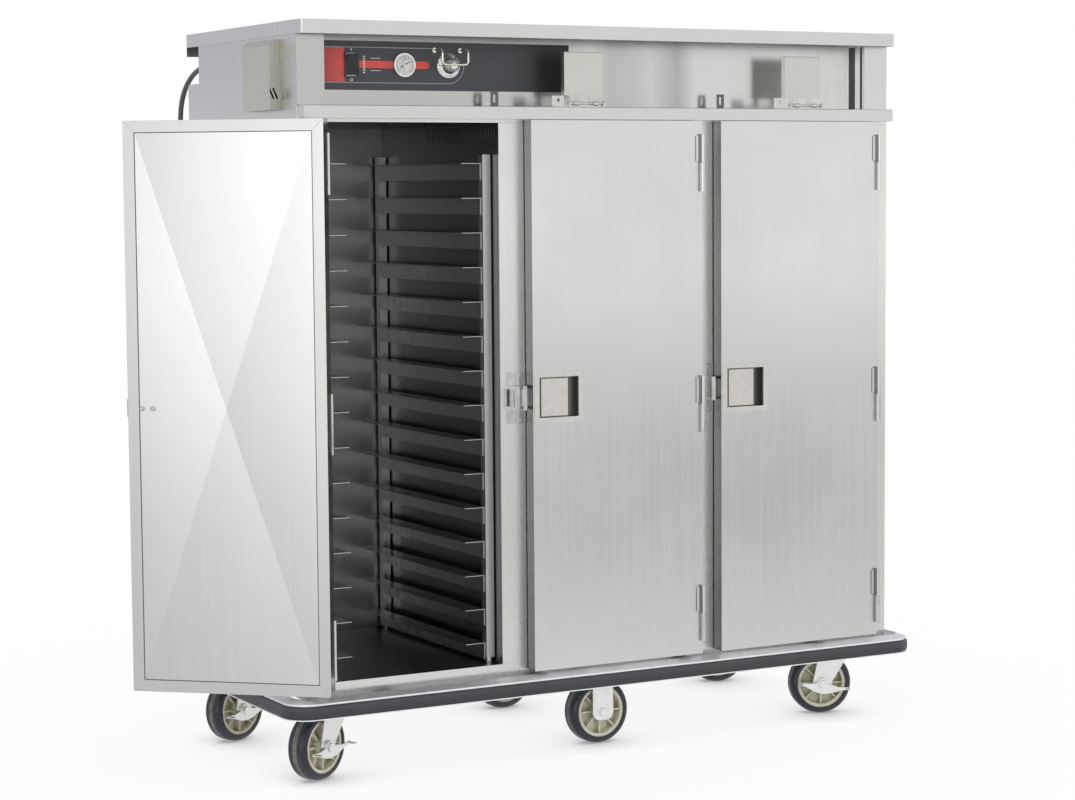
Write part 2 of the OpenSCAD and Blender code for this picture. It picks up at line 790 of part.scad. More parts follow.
// ---- controls ----
module control_panel() {
    color(BLACK)
        difference() {
            slab([-panel_left, -panel_left + panel_w], [panel_face_y, recess_y], [panel_z0, panel_z0 + panel_h]);
            slab([rocker_x - rocker_w / 2, rocker_x + rocker_w / 2], [panel_face_y - 1, recess_y + 1],
                [control_z - rocker_h / 2, control_z + rocker_h / 2]);
            rod_y(knob_stem_d + 2, [knob_x, panel_face_y - 1, control_z], panel_t + 2);
        }
    // the bezel round the rocker
    color("black")
        difference() {
            slab([rocker_x - rocker_w / 2 - 3, rocker_x + rocker_w / 2 + 3], [panel_face_y - 5, panel_face_y],
                [control_z - rocker_h / 2 - 3, control_z + rocker_h / 2 + 3]);
            slab([rocker_x - rocker_w / 2, rocker_x + rocker_w / 2], [panel_face_y - 6, panel_face_y + 1],
                [control_z - rocker_h / 2, control_z + rocker_h / 2]);
        }
}

module thermometer() {
    r = gauge_d / 2;
    color("white")
        translate([gauge_x, panel_face_y, control_z]) rotate([90, 0, 0])
            rotate_extrude($fn = 64)
                polygon([[0, 0], [r, 0], [r, 6], [r - 2, 9], [r - 5, 9], [r - 6, 5], [0, 5]]);
}

// a knob with a graduated skirt and a grip, on a stem
module thermostat_knob() {
    r = knob_d / 2;
    grip_r = 14;
    color("gainsboro")
        translate([knob_x, panel_face_y - move_gap, control_z]) rotate([90, 0, 0]) {
            difference() {
                rotate_extrude($fn = 64)
                    polygon([
                        [0, 0], [r, 0], [r, 2], [r - 2, 4], [grip_r + 4, 7], [grip_r, 10],
                        [grip_r, knob_h - 2], [grip_r - 2, knob_h], [0, knob_h],
                    ]);
                for (a = [0:30:330]) rotate(a) rod_z(3, [grip_r + 0.6, 0, 12], knob_h);
            }
            rod_z(knob_stem_d, [0, 0, -panel_t], panel_t + 2);
        }
}

// the rocker, pressed in at its lower end
module power_rocker() {
    h = rocker_h / 2 - 2;
    x = rocker_w / 2 - 0.6;
    color("black")
        translate([rocker_x, panel_face_y, control_z])
            along_x(-x, x)
                union() {
                    polygon([[-3, -h], [-5, 0], [-8, h], [-6.5, h], [1, 2], [1, -2], [-1.5, -h]]);
                    circle(d = rocker_pin_d);
                }
}

// a quarter bend in a round wire about a point, turned into place
module wire_bend(p, turn) {
    translate(p) rotate(turn) rotate_extrude(angle = 90) translate([guard_bend, 0]) circle(d = guard_wire);
}

// the guard: a bar held across the knob's face by two legs that bend back to the panel
module knob_guard() {
    half_w = 32;
    aside = -3;
    bar_z = control_z + 1;
    top_z = control_z + 34;
    foot_d = 11;
    foot_t = 3;
    r = guard_bend;
    x = [knob_x + aside - half_w, knob_x + aside + half_w];
    y = panel_face_y - guard_out;
    color("silver") {
        rod_x(guard_wire, [x[0] + r, y, bar_z], 2 * (half_w - r));
        wire_bend([x[0] + r, y, bar_z + r], [90, 180, 0]);
        wire_bend([x[1] - r, y, bar_z + r], [90, 90, 0]);
        for (leg_x = x) {
            rod_z(guard_wire, [leg_x, y, bar_z + r], top_z - bar_z - 2 * r);
            wire_bend([leg_x, y + r, top_z - r], [90, 0, -90]);
            rod_y(guard_wire, [leg_x, y + r, top_z], guard_out - r);
            rod_y(foot_d, [leg_x, panel_face_y - foot_t, top_z], foot_t);
        }
    }
}

// ---- transport latches on the ledge ----
module transport_brackets() {
    color(BRIGHT) {
        for (x = flip_x) translate([x, 0, 0]) {
            // base strip, two ears for the pin, and the padlock tabs
            slab([-90, 44], [ledge_y + 3, ledge_y + 16], [ledge_z1, ledge_z1 + 1.5]);
            for (e = [[-52, -47], [38, 43]])
                difference() {
                    union() {
                        slab(e, [flip_pin_y - 5, flip_pin_y + 5], [ledge_z1, flip_pin_z]);
                        rod_x(10, [e[0], flip_pin_y, flip_pin_z], e[1] - e[0]);
                    }
                    rod_x(flip_pin_d + 2 * run_fit, [e[0] - 1, flip_pin_y, flip_pin_z], e[1] - e[0] + 2);
                }
            difference() {
                slab([-90, -59], [flip_pin_y + 4, flip_pin_y + 7], [ledge_z1, ledge_z1 + 25]);
                rod_y(8, [-74, flip_pin_y + 3, ledge_z1 + 15], 6);
            }
        }
        for (x = eye_x) translate([x, 0, 0])
            difference() {
                union() {
                    slab([-10, 10], [eye_y, eye_y + 3], [ledge_z1, ledge_z1 + 34]);
                    slab([-10, 10], [eye_y + 3, eye_y + 16], [ledge_z1, ledge_z1 + 2]);
                }
                slab([-3.5, 3.5], [eye_y - 1, eye_y + 4], [ledge_z1 + 10, ledge_z1 + 28]);
            }
    }
}

module flip_plate(k) {
    y = flip_pin_y + flip_back;
    z0 = flip_pin_z + flip_knuckle_r;
    z1 = flip_pin_z + 18 + flip_h;
    w = flip_w / 2;
    color(STEEL) translate([flip_x[k], 0, 0]) {
        rod_x(2 * flip_knuckle_r, [-36, flip_pin_y, flip_pin_z], 12);
        rod_x(2 * flip_knuckle_r, [14, flip_pin_y, flip_pin_z], 12);
        rod_x(flip_pin_d, [-53, flip_pin_y, flip_pin_z], 97);
        for (x = [-36, 14]) {
            slab([x, x + 12], [flip_pin_y, y + flip_t], [flip_pin_z - 3, flip_pin_z + 1]);
            slab([x, x + 12], [y, y + flip_t], [flip_pin_z - 3, z1 - flip_h + 4]);
        }
        slab([-w, w], [y, y + flip_t], [z1 - flip_h, z1]);
        slab([-w, -w + flip_t], [y, y + 14], [z1 - flip_h, z1]);
        slab([-w, w], [y, y + 12], [z1 - flip_t, z1]);
    }
}

// ---- vent hood on the left side ----
module vent_cover() {
    x = -body_x;
    out = vent_out;
    slope = 14;
    flange = 24;
    y = [front_y + vent_setback, front_y + vent_setback + vent_w];
    z = [cap_z0 - vent_h - 8, cap_z0 - 8];
    profile = [[x, z[0]], [x - out, z[0]], [x - out, z[1] - slope], [x - out + slope, z[1]], [x, z[1]]];
    inner = [
        [x + 1, z[0] + sheet_t], [x - out + sheet_t, z[0] + sheet_t], [x - out + sheet_t, z[1] - slope - 0.6],
        [x - out + slope + 0.6, z[1] - sheet_t], [x + 1, z[1] - sheet_t],
    ];
    color(BRIGHT) {
        difference() {
            along_y(y[0], y[1]) polygon(profile);
            along_y(y[0] + sheet_t, y[1] - sheet_t) polygon(inner);
            for (k = [0, 1])
                translate([x - 8 - 9 * k, y[0], z[0] + 24]) rotate([0, -24, 0])
                    slab([-2, 2], [-1, sheet_t + 1], [0, 26]);
        }
        slab([x - 1.5, x], [y[0] - flange, y[0] - seam], [z[0], z[1]]);
    }
}

// ---- bumper ----
// sections drawn with X as the distance inward from the bumper's face
module rail_section() {
    t = bumper_t;
    d = bumper_depth;
    z0 = bumper_z;
    z1 = bumper_z + t + bumper_strip;
    nose_r = 3;
    nose = [4 + nose_r, z1 + nose_r];
    polygon([
        [d, z0], [3, z0], [3, z0 + t], [d - t, z0 + t], [d - t, rail_z1 - 2 * t], [13, z1 + 6],
        [nose[0], z1], nose, [nose[0], z1 + 2 * nose_r], [d, rail_z1],
    ]);
    translate(nose) circle(nose_r);
}

module strip_section() {
    z0 = bumper_z + bumper_t + seam;
    z1 = z0 + bumper_strip - 2 * seam;
    polygon([
        [bumper_depth - bumper_t - seam, z0], [4, z0], [1, z0 + 3], [0, z0 + 8],
        [0, z1 - 8], [1, z1 - 3], [4, z1], [10, z1], [14, z1 + 4], [bumper_depth - bumper_t - seam, z1 + 4],
    ]);
}

module bumper_ring() {
    x = bumper_x - bumper_r;
    y = bumper_y - bumper_r;
    for (s = [0, 1]) {
        mirror([0, s, 0]) translate([-x, -bumper_y, 0])
            rotate([90, 0, 90]) linear_extrude(2 * x) children();
        mirror([s, 0, 0]) translate([-bumper_x, y, 0])
            rotate([90, 0, 0]) linear_extrude(2 * y) children();
    }
    gap_angle = 0.4;
    for (sx = [0, 1], sy = [0, 1])
        mirror([sx, 0, 0]) mirror([0, sy, 0]) translate([x, y, 0])
            rotate([0, 0, gap_angle]) rotate_extrude(angle = 90 - 2 * gap_angle)
                translate([bumper_r, 0]) mirror([1, 0, 0]) children();
}

module bumper_rail() {
    color(BRIGHT) bumper_ring() rail_section();
}

module bumper_strip_rubber() {
    color(BLACK) bumper_ring() strip_section();
}

// ---- casters ----
// a caster's place: the wheel trails behind the swivel axis
module at_caster(k) {
    translate([casters[k][1], casters[k][2], 0]) rotate([0, 0, casters[k][3]]) children();
}

function trail(k) = casters[k][4] ? -caster_trail : 0;

// one leg's outline in X and Z, from the crown down to a round foot at the axle
module leg_outline(top_x, top_z, foot_x, shoulder) {
    corner = 19;
    polygon([
        [top_x[0], top_z], [top_x[1], top_z], [top_x[1] - shoulder, top_z - 14], [foot_x[1], wheel_r + 4],
        [foot_x[1], wheel_r], [foot_x[1] - corner, wheel_r - corner], [foot_x[0] + corner, wheel_r - corner],
        [foot_x[0], wheel_r], [foot_x[0], wheel_r + 6],
    ]);
    for (x = [foot_x[0] + corner, foot_x[1] - corner]) translate([x, wheel_r]) circle(corner);
}

// both legs of a fork and the axle bolt, whose end reaches out as far as a pedal needs
module fork_legs(axle_x, reach) {
    for (s = [0, 1]) mirror([0, s, 0]) along_y(-fork_out, -fork_gap / 2) children();
    rod_y(axle_d, [axle_x, -fork_out - reach, wheel_r], 2 * fork_out + reach);
    for (y = [-fork_out - reach - 5, fork_out]) translate([axle_x, y, wheel_r]) rotate([-90, 0, 0])
        cylinder(d = 21, h = 5, $fn = 6);
}

module swivel_fork(k) {
    foot = 24;
    color(BRIGHT) at_caster(k)
        difference() {
            union() {
                rod_z(race_d, [0, 0, crown_z1 - crown_t], crown_t);
                slab(crown_x, [-fork_out, fork_out], [crown_z1 - crown_t, crown_z1 - 1]);
                fork_legs(-caster_trail, pedal_boss + 2 * move_gap)
                    leg_outline(crown_x, crown_z1 - crown_t + 1, [-caster_trail - foot, -caster_trail + foot], 4);
            }
            rod_z(kingpin_d + 2 * run_fit, [0, 0, crown_z1 - crown_t - 1], crown_t + 2);
            rod_z(kingpin_d + 12, [0, 0, crown_z1 - crown_t - 10], 10 - move_gap);
        }
}

module rigid_forks() {
    leg_x = [-27, 27];
    color(BRIGHT)
        for (k = [4, 5]) at_caster(k) {
            slab([-57, 57], [-50, 50], [caster_h - plate_t, caster_h]);
            fork_legs(0, 0) leg_outline(leg_x, caster_h - plate_t, leg_x, 0);
        }
}

// a tyre with round shoulders and a shallow band in its tread
module tyre(k) {
    w = wheel_w / 2;
    shoulder = 14;
    r = wheel_r;
    h = hub_d / 2;
    color(BLACK) at_caster(k) translate([trail(k), 0, wheel_r]) rotate([90, 0, 0])
        rotate_extrude($fn = 96)
            difference() {
                union() {
                    translate([h + 1, -w + 3]) square([r - shoulder - h - 1, 2 * w - 6]);
                    translate([h, -w + shoulder]) square([r - h, 2 * w - 2 * shoulder]);
                    translate([h, -w + 3]) square([3, 2 * w - 6]);
                    for (s = [-1, 1]) intersection() {
                        translate([r - shoulder, s * (w - shoulder)]) circle(shoulder);
                        translate([h, -w]) square([r - h, 2 * w]);
                    }
                }
            }
}

// a hub with a rim, a web, ribs on both sides and a bored barrel
module hub(k) {
    r = hub_d / 2;
    barrel_r = 19;
    rim_t = 8;
    rim_w = wheel_w / 2 - 3;
    color("#cfccab") at_caster(k) translate([trail(k), 0, wheel_r]) rotate([90, 0, 0])
        difference() {
            union() {
                difference() {
                    cylinder(r = r, h = 2 * rim_w, center = true, $fn = 96);
                    cylinder(r = r - rim_t, h = 2 * rim_w + 2, center = true, $fn = 96);
                }
                cylinder(r = r - rim_t / 2, h = 6, center = true, $fn = 96);
                cylinder(r = barrel_r, h = 2 * hub_half, center = true);
                for (a = [0:360 / hub_ribs:359]) rotate(a)
                    translate([barrel_r - 2, -2, -rim_w + 4]) cube([r - barrel_r - 2, 4, 2 * rim_w - 8]);
            }
            cylinder(d = axle_d + 2 * run_fit, h = 2 * hub_half + 2, center = true);
        }
}

// a side brake pedal: two wings with foot pads, turning on the end of the axle bolt
module pedal(k) {
    t = 3;
    hub_r = 15;
    tips = [-61, 66];
    pad_out = 20;
    pad_w = 9;
    pad_z = [-5, -2.5];
    y1 = -fork_out - move_gap;
    y0 = y1 - pedal_boss;
    color("lightgray") at_caster(k) translate([trail(k), 0, wheel_r]) rotate([0, casters[k][5], 0])
        difference() {
            union() {
                rod_y(2 * hub_r, [0, y0, 0], pedal_boss);
                along_y(y0, y0 + t)
                    polygon([
                        [tips[0], -6], [-40, -12], [-20, -21], [0, -24], [20, -21], [44, -12],
                        [tips[1], -6], [tips[1], -1], [40, -3], [14, 2], [-14, 2], [-38, -3], [tips[0], -1],
                    ]);
                slab([tips[0], tips[0] + pad_w], [y0 - pad_out, y0 + t / 2], pad_z);
                slab([tips[1] - pad_w, tips[1]], [y0 - pad_out, y0 + t / 2], pad_z);
            }
            rod_y(axle_d + 2 * run_fit, [0, y0 - 1, 0], pedal_boss + 2);
        }
}

// ---- cord ----
// a tube through points, with its rings turned by a fixed direction
function unit(v) = v / norm(v);
function tangent(p, k) = unit(p[min(k + 1, len(p) - 1)] - p[max(k - 1, 0)]);
function ring(p, k, r, sides, ref) =
    let (t = tangent(p, k), u = unit(cross(t, ref)), v = cross(t, u))
    [for (j = [0:sides - 1]) let (a = 360 * j / sides) p[k] + r * (cos(a) * u + sin(a) * v)];

module tube(p, r, sides, ref) {
    n = len(p);
    points = [for (k = [0:n - 1]) each ring(p, k, r, sides, ref)];
    walls = [for (k = [0:n - 2], j = [0:sides - 1])
        let (a = k * sides + j, b = k * sides + (j + 1) % sides)
        each [[a, a + sides, b], [b, a + sides, b + sides]]];
    ends = [
        [for (j = [0:sides - 1]) j],
        [for (j = [sides - 1:-1:0]) (n - 1) * sides + j],
    ];
    polyhedron(points = points, faces = concat(walls, ends), convexity = 10);
}

// extra points between those of the route, on a smooth curve
function catmull(a, b, c, d, t) =
    0.5 * (2 * b + (c - a) * t + (2 * a - 5 * b + 4 * c - d) * t * t + (3 * b - a - 3 * c + d) * t * t * t);
laid = [for (p = cord_route) [cord_x + p[0], upper_back_y + p[1], p[2] * cord_z / route_top]];
cord_end = len(laid) - 1;
function between(k, t) =
    catmull(laid[max(k - 1, 0)], laid[k], laid[k + 1], laid[min(k + 2, cord_end)], t);
cord_path = concat(
    [for (k = [0:cord_end - 1], t = [0, 0.5]) between(k, t)],
    [laid[cord_end]]
);

// the coil: one loop winds in on the floor, climbs, and the next winds out on top
coil_mid_y = coil_y + coil_r0;
function coil_layer(s) = s < 0.85 ? 0 : s > 1.15 ? 1 : (1 - cos(180 * (s - 0.85) / 0.3)) / 2;
function coil_radius(s) = coil_r0 - coil_step * (1 - abs(s - 1));
function coil_point(s) =
    let (a = -90 + 360 * s, r = coil_radius(s))
    [coil_x + r * cos(a), coil_mid_y + r * sin(a), cord_r + coil_layer(s) * coil_step];
coil_path = concat(
    [[coil_x - coil_lead, coil_y, cord_r]],
    [for (k = [0:loop_rings * coil_loops]) coil_point(k / loop_rings)],
    [for (x = [0.35, 0.7, 1]) [coil_x + x * coil_tail, coil_y, cord_r + coil_step]]
);

function steps(p) = [for (k = [0:len(p) - 2]) norm(p[k + 1] - p[k])];
function total(v) = v * [for (k = v) 1];
coil_gap = min([for (i = [0:len(coil_path) - 1], j = [i + 8:1:len(coil_path) - 1])
    norm(coil_path[i] - coil_path[j])]) - cord_d;
run_length = relief_len + total(steps(cord_path));
coil_length = total(steps(coil_path));
echo(run_length = run_length, coil_length = coil_length, cord_length = run_length + coil_length);
echo(least_coil_gap = coil_gap);

module power_cord() {
    color("gray") tube(cord_path, cord_r, cord_sides, [1, 1, 1]);
}

module cord_coil() {
    color("gray") tube(coil_path, cord_r, 6, [0, 0, 1]);
}

module cord_gland() {
    color(BLACK)
        translate([cord_x, upper_back_y, cord_z]) rotate([-90, 0, 0])
            rotate_extrude()
                polygon([
                    [0, 0], [19, 0], [19, 3], [14, 4], [13, 12], [10, 13], [cord_r + 1.5, relief_len],
                    [0, relief_len],
                ]);
}

// a grounded plug lying behind the cart
module cord_plug() {
    r = plug_d / 2;
    x = coil_x + coil_tail;
    z = cord_r + coil_step;
    blade = [18, 1.5, 6.3];
    color("dimgray") translate([x, coil_y, z]) rotate([0, 90, 0])
        rotate_extrude()
            polygon([
                [0, 0], [cord_r + 2, 0], [cord_r + 4, 22], [r - 3, 30], [r, r * 2],
                [r, plug_len - 4], [r - 2, plug_len], [0, plug_len],
            ]);
    color("gold") {
        for (s = [-1, 1])
            translate([x + plug_len, coil_y + s * blade[2] - blade[1] / 2, z - 1]) cube(blade);
        rod_x(4.8, [x + plug_len, coil_y, z - 8], blade[0] + 3);
    }
}

face_frame();
cabinet_skins();
compartment_liners();
roof_cap();
header_ledge();
recess_walls();
base_frame();
door_hardware();
tray_racks();
control_panel();
thermometer();
knob_guard();
transport_brackets();
vent_cover();
bumper_rail();
bumper_strip_rubber();
cord_gland();
power_cord();
cord_coil();
cord_plug();
door_pan(0);  // left_door_pan
door_pan(1);  // middle_door_pan
door_pan(2);  // right_door_pan
door_liner(0);  // left_door_liner
door_liner(1);  // middle_door_liner
door_liner(2);  // right_door_liner
latch_housing(0);  // left_latch_housing
latch_housing(1);  // middle_latch_housing
latch_housing(2);  // right_latch_housing
latch_paddle(0);  // left_latch_paddle
latch_paddle(1);  // middle_latch_paddle
latch_paddle(2);  // right_latch_paddle
latch_bolt(0);  // left_latch_bolt
latch_bolt(1);  // middle_latch_bolt
latch_bolt(2);  // right_latch_bolt
flip_plate(0);  // left_flip_plate
flip_plate(1);  // right_flip_plate
thermostat_knob();
power_rocker();
swivel_fork(0);  // front_left_fork
swivel_fork(1);  // front_right_fork
swivel_fork(2);  // rear_left_fork
swivel_fork(3);  // rear_right_fork
rigid_forks();
tyre(0);  // front_left_tyre
tyre(1);  // front_right_tyre
tyre(2);  // rear_left_tyre
tyre(3);  // rear_right_tyre
tyre(4);  // front_middle_tyre
tyre(5);  // rear_middle_tyre
hub(0);  // front_left_hub
hub(1);  // front_right_hub
hub(2);  // rear_left_hub
hub(3);  // rear_right_hub
hub(4);  // front_middle_hub
hub(5);  // rear_middle_hub
pedal(0);  // front_left_pedal
pedal(1);  // front_right_pedal
pedal(2);  // rear_left_pedal
pedal(3);  // rear_right_pedal
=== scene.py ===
"""Looks of the enclosed meal tray cart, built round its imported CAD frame.

Materials and the camera are in metres. The cord's route and the pieces are drawn in millimetres.
"""

import math

import bmesh
import bpy
from mathutils import Matrix, Vector


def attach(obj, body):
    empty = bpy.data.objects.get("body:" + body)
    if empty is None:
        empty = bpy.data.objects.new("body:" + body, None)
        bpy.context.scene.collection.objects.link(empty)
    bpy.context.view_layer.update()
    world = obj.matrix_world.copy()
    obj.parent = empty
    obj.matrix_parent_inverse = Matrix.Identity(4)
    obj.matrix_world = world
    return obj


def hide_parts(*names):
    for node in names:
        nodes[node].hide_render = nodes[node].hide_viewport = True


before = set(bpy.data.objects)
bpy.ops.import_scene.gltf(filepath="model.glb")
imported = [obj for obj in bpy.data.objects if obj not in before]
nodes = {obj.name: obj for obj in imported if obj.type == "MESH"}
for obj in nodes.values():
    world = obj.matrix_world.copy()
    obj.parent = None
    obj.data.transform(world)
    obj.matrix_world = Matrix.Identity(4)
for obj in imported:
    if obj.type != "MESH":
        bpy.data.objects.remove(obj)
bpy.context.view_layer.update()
scene = bpy.context.scene
scene.view_settings.view_transform = "Standard"

# each bay's name and centre X
BAYS = (("left", -0.502), ("middle", 0.0), ("right", 0.502))
WHEEL_R = 0.076
# each caster's swivel X and Y, its yaw in degrees, and how far the axle trails the swivel
CASTERS = {
    "front_left": (-0.686, -0.235, 26, -0.042),
    "front_right": (0.686, -0.235, -20, -0.042),
    "rear_left": (-0.686, 0.235, 21, -0.042),
    "rear_right": (0.686, 0.235, -20, -0.042),
    "front_middle": (0.0, -0.235, 0, 0.0),
    "rear_middle": (0.0, 0.235, 0, 0.0),
}

# ---- camera, solved from the photograph's straight edges ----
camera = bpy.data.objects.new("camera", bpy.data.cameras.new("camera"))
scene.collection.objects.link(camera)
scene.camera = camera
camera.data.lens = 86.53
camera.data.sensor_width = 36
right = Vector((0.87559, -0.48301, -0.00727)).normalized()
forward = Vector((0.48079, 0.87282, -0.08382)).normalized()
up = right.cross(forward).normalized()
facing = Matrix((right, up, -forward)).transposed().to_4x4()
camera.matrix_world = Matrix.Translation((-3.0039, -5.4150, 1.3099)) @ facing
camera.data.clip_end = 200


# ---- material building ----
LEVEL = (1, 60, 60)
UPRIGHT = (60, 60, 1)
GRAIN_DEPTH = 0.0002


class Graph:
    """The nodes of a material or of the world. An input is a constant, or the socket to link from."""

    def __init__(self, name, kind="Material"):
        group = bpy.data.worlds if kind == "World" else bpy.data.materials
        self.material = group.new(name)
        self.material.use_nodes = True
        self.tree = self.material.node_tree
        self.tree.nodes.clear()
        self.out = self.tree.nodes.new("ShaderNodeOutput" + kind)

    def add(self, kind, inputs=None, **settings):
        node = self.tree.nodes.new("ShaderNode" + kind)
        for key, value in settings.items():
            setattr(node, key, value)
        for key, value in (inputs or {}).items():
            if isinstance(value, bpy.types.NodeSocket):
                self.tree.links.new(value, node.inputs[key])
            else:
                node.inputs[key].default_value = value
        return node

    def axis(self, index, kind="Object"):
        """X, Y or Z of a texture coordinate."""
        return self.add("SeparateXYZ", {0: self.add("TexCoord").outputs[kind]}).outputs[index]

    def noise(self, scale, detail, rough, stretch=(1, 1, 1)):
        place = self.add("TexCoord").outputs["Object"]
        drawn = self.add("Mapping", {"Vector": place, "Scale": stretch}).outputs[0]
        return self.add("TexNoise", {
            "Vector": drawn, "Scale": scale, "Detail": detail, "Roughness": rough}).outputs["Fac"]

    def math(self, operation, a, b=0.5, clamp=False):
        return self.add("Math", {0: a, 1: b}, operation=operation, use_clamp=clamp).outputs[0]

    def span(self, value, low, high, start=0.3, end=0.7, kind="SMOOTHSTEP"):
        """low to high while the value goes from start to end."""
        return self.add("MapRange", {
            "Value": value, "From Min": start, "From Max": end, "To Min": low, "To Max": high,
        }, interpolation_type=kind).outputs[0]

    def linear(self, value, start, end, low=0.0, high=1.0):
        return self.span(value, low, high, start, end, "LINEAR")

    def ramp(self, value, stops):
        node = self.add("ValToRGB", {"Fac": value})
        band = node.color_ramp
        while len(band.elements) < len(stops):
            band.elements.new(0.5)
        for element, (place, colour) in zip(band.elements, stops):
            element.position = place
            element.color = (*colour, 1)
        return node.outputs["Color"]

    def greys(self, value, stops):
        return self.ramp(value, [(place, (level,) * 3) for place, level in stops])

    def mix(self, share, a, b):
        node = self.add("Mix", {"Factor": share}, data_type="RGBA")
        for socket, value in ((node.inputs[6], a), (node.inputs[7], b)):
            if isinstance(value, bpy.types.NodeSocket):
                self.tree.links.new(value, socket)
            else:
                socket.default_value = (*value, 1)
        return node.outputs[2]

    def normal(self, height, strength, edge=0.0006):
        """Grain on a surface whose edges look eased by a radius."""
        eased = self.add("Bevel", {"Radius": edge}, samples=4).outputs[0]
        return self.add("Bump", {
            "Height": height, "Strength": strength, "Distance": GRAIN_DEPTH, "Normal": eased}).outputs[0]

    def dished(self, normal, facing, share=1.5):
        """Turns a normal's lean away from facing round, where it leans by a little only.
        A share of 1 takes the lean away, and 2 keeps its size."""
        flat = self.add("VectorTransform", {"Vector": facing}, vector_type="NORMAL",
                        convert_from="OBJECT", convert_to="WORLD").outputs[0]
        straight = self.add("VectorMath", {0: normal, 1: flat}, operation="DOT_PRODUCT").outputs["Value"]
        along = self.add("VectorMath", {0: flat, "Scale": straight}, operation="SCALE").outputs[0]
        lean = self.add("VectorMath", {0: normal, 1: along}, operation="SUBTRACT").outputs[0]
        part = self.math("MULTIPLY", self.math("GREATER_THAN", straight, 0.97), share)
        back = self.add("VectorMath", {0: lean, "Scale": part}, operation="SCALE").outputs[0]
        found = self.add("VectorMath", {0: normal, 1: back}, operation="SUBTRACT").outputs[0]
        return self.add("VectorMath", {0: found}, operation="NORMALIZE").outputs[0]

    def surface(self, **inputs):
        named = {key.replace("_", " "): value for key, value in inputs.items()}
        shader = self.add("BsdfPrincipled", named)
        self.tree.links.new(shader.outputs[0], self.out.inputs["Surface"])
        return self.material


def scaled(colour, share):
    return tuple(min(1.0, c * share) for c in colour)


def brushed(name, colour, rough, stretch, grain=0.012, fine=14, edge=0.0006, smudge=0.03, bump=0.02,
            spread=0.55, shade=None, facing=None):
    """Stainless sheet: grain along one direction, faint smudges and eased edges.
    Reflections spread across the grain. shade returns a factor for the colour. facing is the normal of
    a pressed panel, whose fields are lit as dished and half as deep."""
    g = Graph(name)
    streak = g.noise(fine, 2.0, 0.6, stretch)
    wide = g.noise(fine * 0.12, 3.0, 0.55, stretch)
    cloud = g.noise(2.6, 3.0, 0.55)
    line = g.math("ADD", g.math("MULTIPLY", streak, 0.6), g.math("MULTIPLY", wide, 0.4))
    tint = g.mix(g.span(line, 0, 1), scaled(colour, 1 - grain), scaled(colour, 1 + grain))
    worn = g.mix(g.span(cloud, 0, smudge * 4), tint, scaled(colour, 0.86))
    # a shade factor paints shade into the colour, over the smudges
    if shade:
        worn = g.mix(shade(g), (0, 0, 0), worn)
    r = g.math("ADD", g.span(line, rough - 0.03, rough + 0.03), g.span(cloud, -smudge, smudge))
    lay = (0.02, 0.03, 1) if stretch == UPRIGHT else (1, 0.03, 0.02)
    across = g.add("VectorMath", {0: g.add("NewGeometry").outputs["Normal"], 1: lay},
                   operation="CROSS_PRODUCT").outputs[0]
    normal = g.normal(streak, bump, edge)
    if facing:
        normal = g.dished(normal, facing)
    return g.surface(Base_Color=worn, Metallic=1.0, Roughness=r, Anisotropic=spread, Tangent=across,
                     Normal=normal)


def polished(name, colour, rough, edge=0.0006, shade=None, metal=1.0, bump=0.08):
    """Bright metal with faint handling marks. shade returns a factor for the colour."""
    g = Graph(name)
    marks = g.noise(60, 4.0, 0.6)
    tint = g.mix(g.span(marks, 0, 1), scaled(colour, 0.95), scaled(colour, 1.04))
    # a shade factor paints shade into the colour
    if shade:
        tint = g.mix(shade(g), (0, 0, 0), tint)
    return g.surface(Base_Color=tint, Metallic=metal, Roughness=g.span(marks, rough - 0.04, rough + 0.05),
                     Normal=g.normal(marks, bump, edge))


def moulded(name, colour, rough, grain=0.25, fine=900, edge=0.0008):
    """Plastic or paint: a fine moulded grain and slight colour variation."""
    g = Graph(name)
    pores = g.noise(fine, 2.0, 0.6)
    cloud = g.noise(14, 3.0, 0.6)
    tint = g.mix(g.span(cloud, 0, 1), scaled(colour, 0.88), scaled(colour, 1.12))
    return g.surface(Base_Color=tint, Roughness=g.span(cloud, rough - 0.05, rough + 0.05),
                     Normal=g.normal(pores, grain, edge))


def recess_shade(g):
    """Painted reflection: soft upright bands of light and shade on the recess's wall."""
    bands = [(0.0, 0.80), (0.11, 0.96), (0.17, 0.76), (0.23, 0.80), (0.30, 0.90), (0.385, 0.66), (0.44, 1.0),
             (1.0, 1.0)]
    return g.greys(g.linear(g.axis(0), -0.1, 0.75), bands)


def side_shade(g):
    """Painted shade: closed doors stand close to the posts, so their left side faces are darkened nearly to
    black.
    """
    return g.span(g.axis(0, "Normal"), 0.36, 1.0, -0.9, -0.5)


def pocket_shade(g):
    """Painted shade: a latch's pocket is darkened inside, more so deeper in."""
    return g.span(g.axis(1), 1.0, 0.22, -0.349, -0.343)


def hood_shade(g):
    """Painted shade: the hood's front faces are darker than its flank."""
    return g.span(g.axis(0, "Normal"), 1.0, 0.66, -0.9, -0.5)


def eye_shade(g):
    """The padlock eyes are darker than the other fittings."""
    across = g.axis(0)
    near = [g.span(g.math("ABSOLUTE", g.math("SUBTRACT", across, x)), 0.22, 1.0, 0.009, 0.011) for x in EYES]
    return g.math("MINIMUM", *near)


def hub_plastic():
    """Cream plastic, with painted shade in its crevices, where it turns olive."""
    g = Graph("hub_plastic")
    cloud = g.noise(14, 3.0, 0.6)
    # painted shade: ambient occlusion turns the cream olive in the crevices
    open_share = g.add("AmbientOcclusion", {"Distance": 0.014}, samples=8).outputs["AO"]
    cream = g.mix(g.span(cloud, 0, 1), (0.68, 0.66, 0.52), (0.75, 0.73, 0.60))
    tint = g.mix(g.span(open_share, 0, 1, 0.2, 0.8), (0.40, 0.37, 0.23), cream)
    return g.surface(Base_Color=tint, Roughness=g.span(cloud, 0.36, 0.46),
                     Normal=g.normal(g.noise(260, 2.0, 0.6), 0.12, 0.0012))


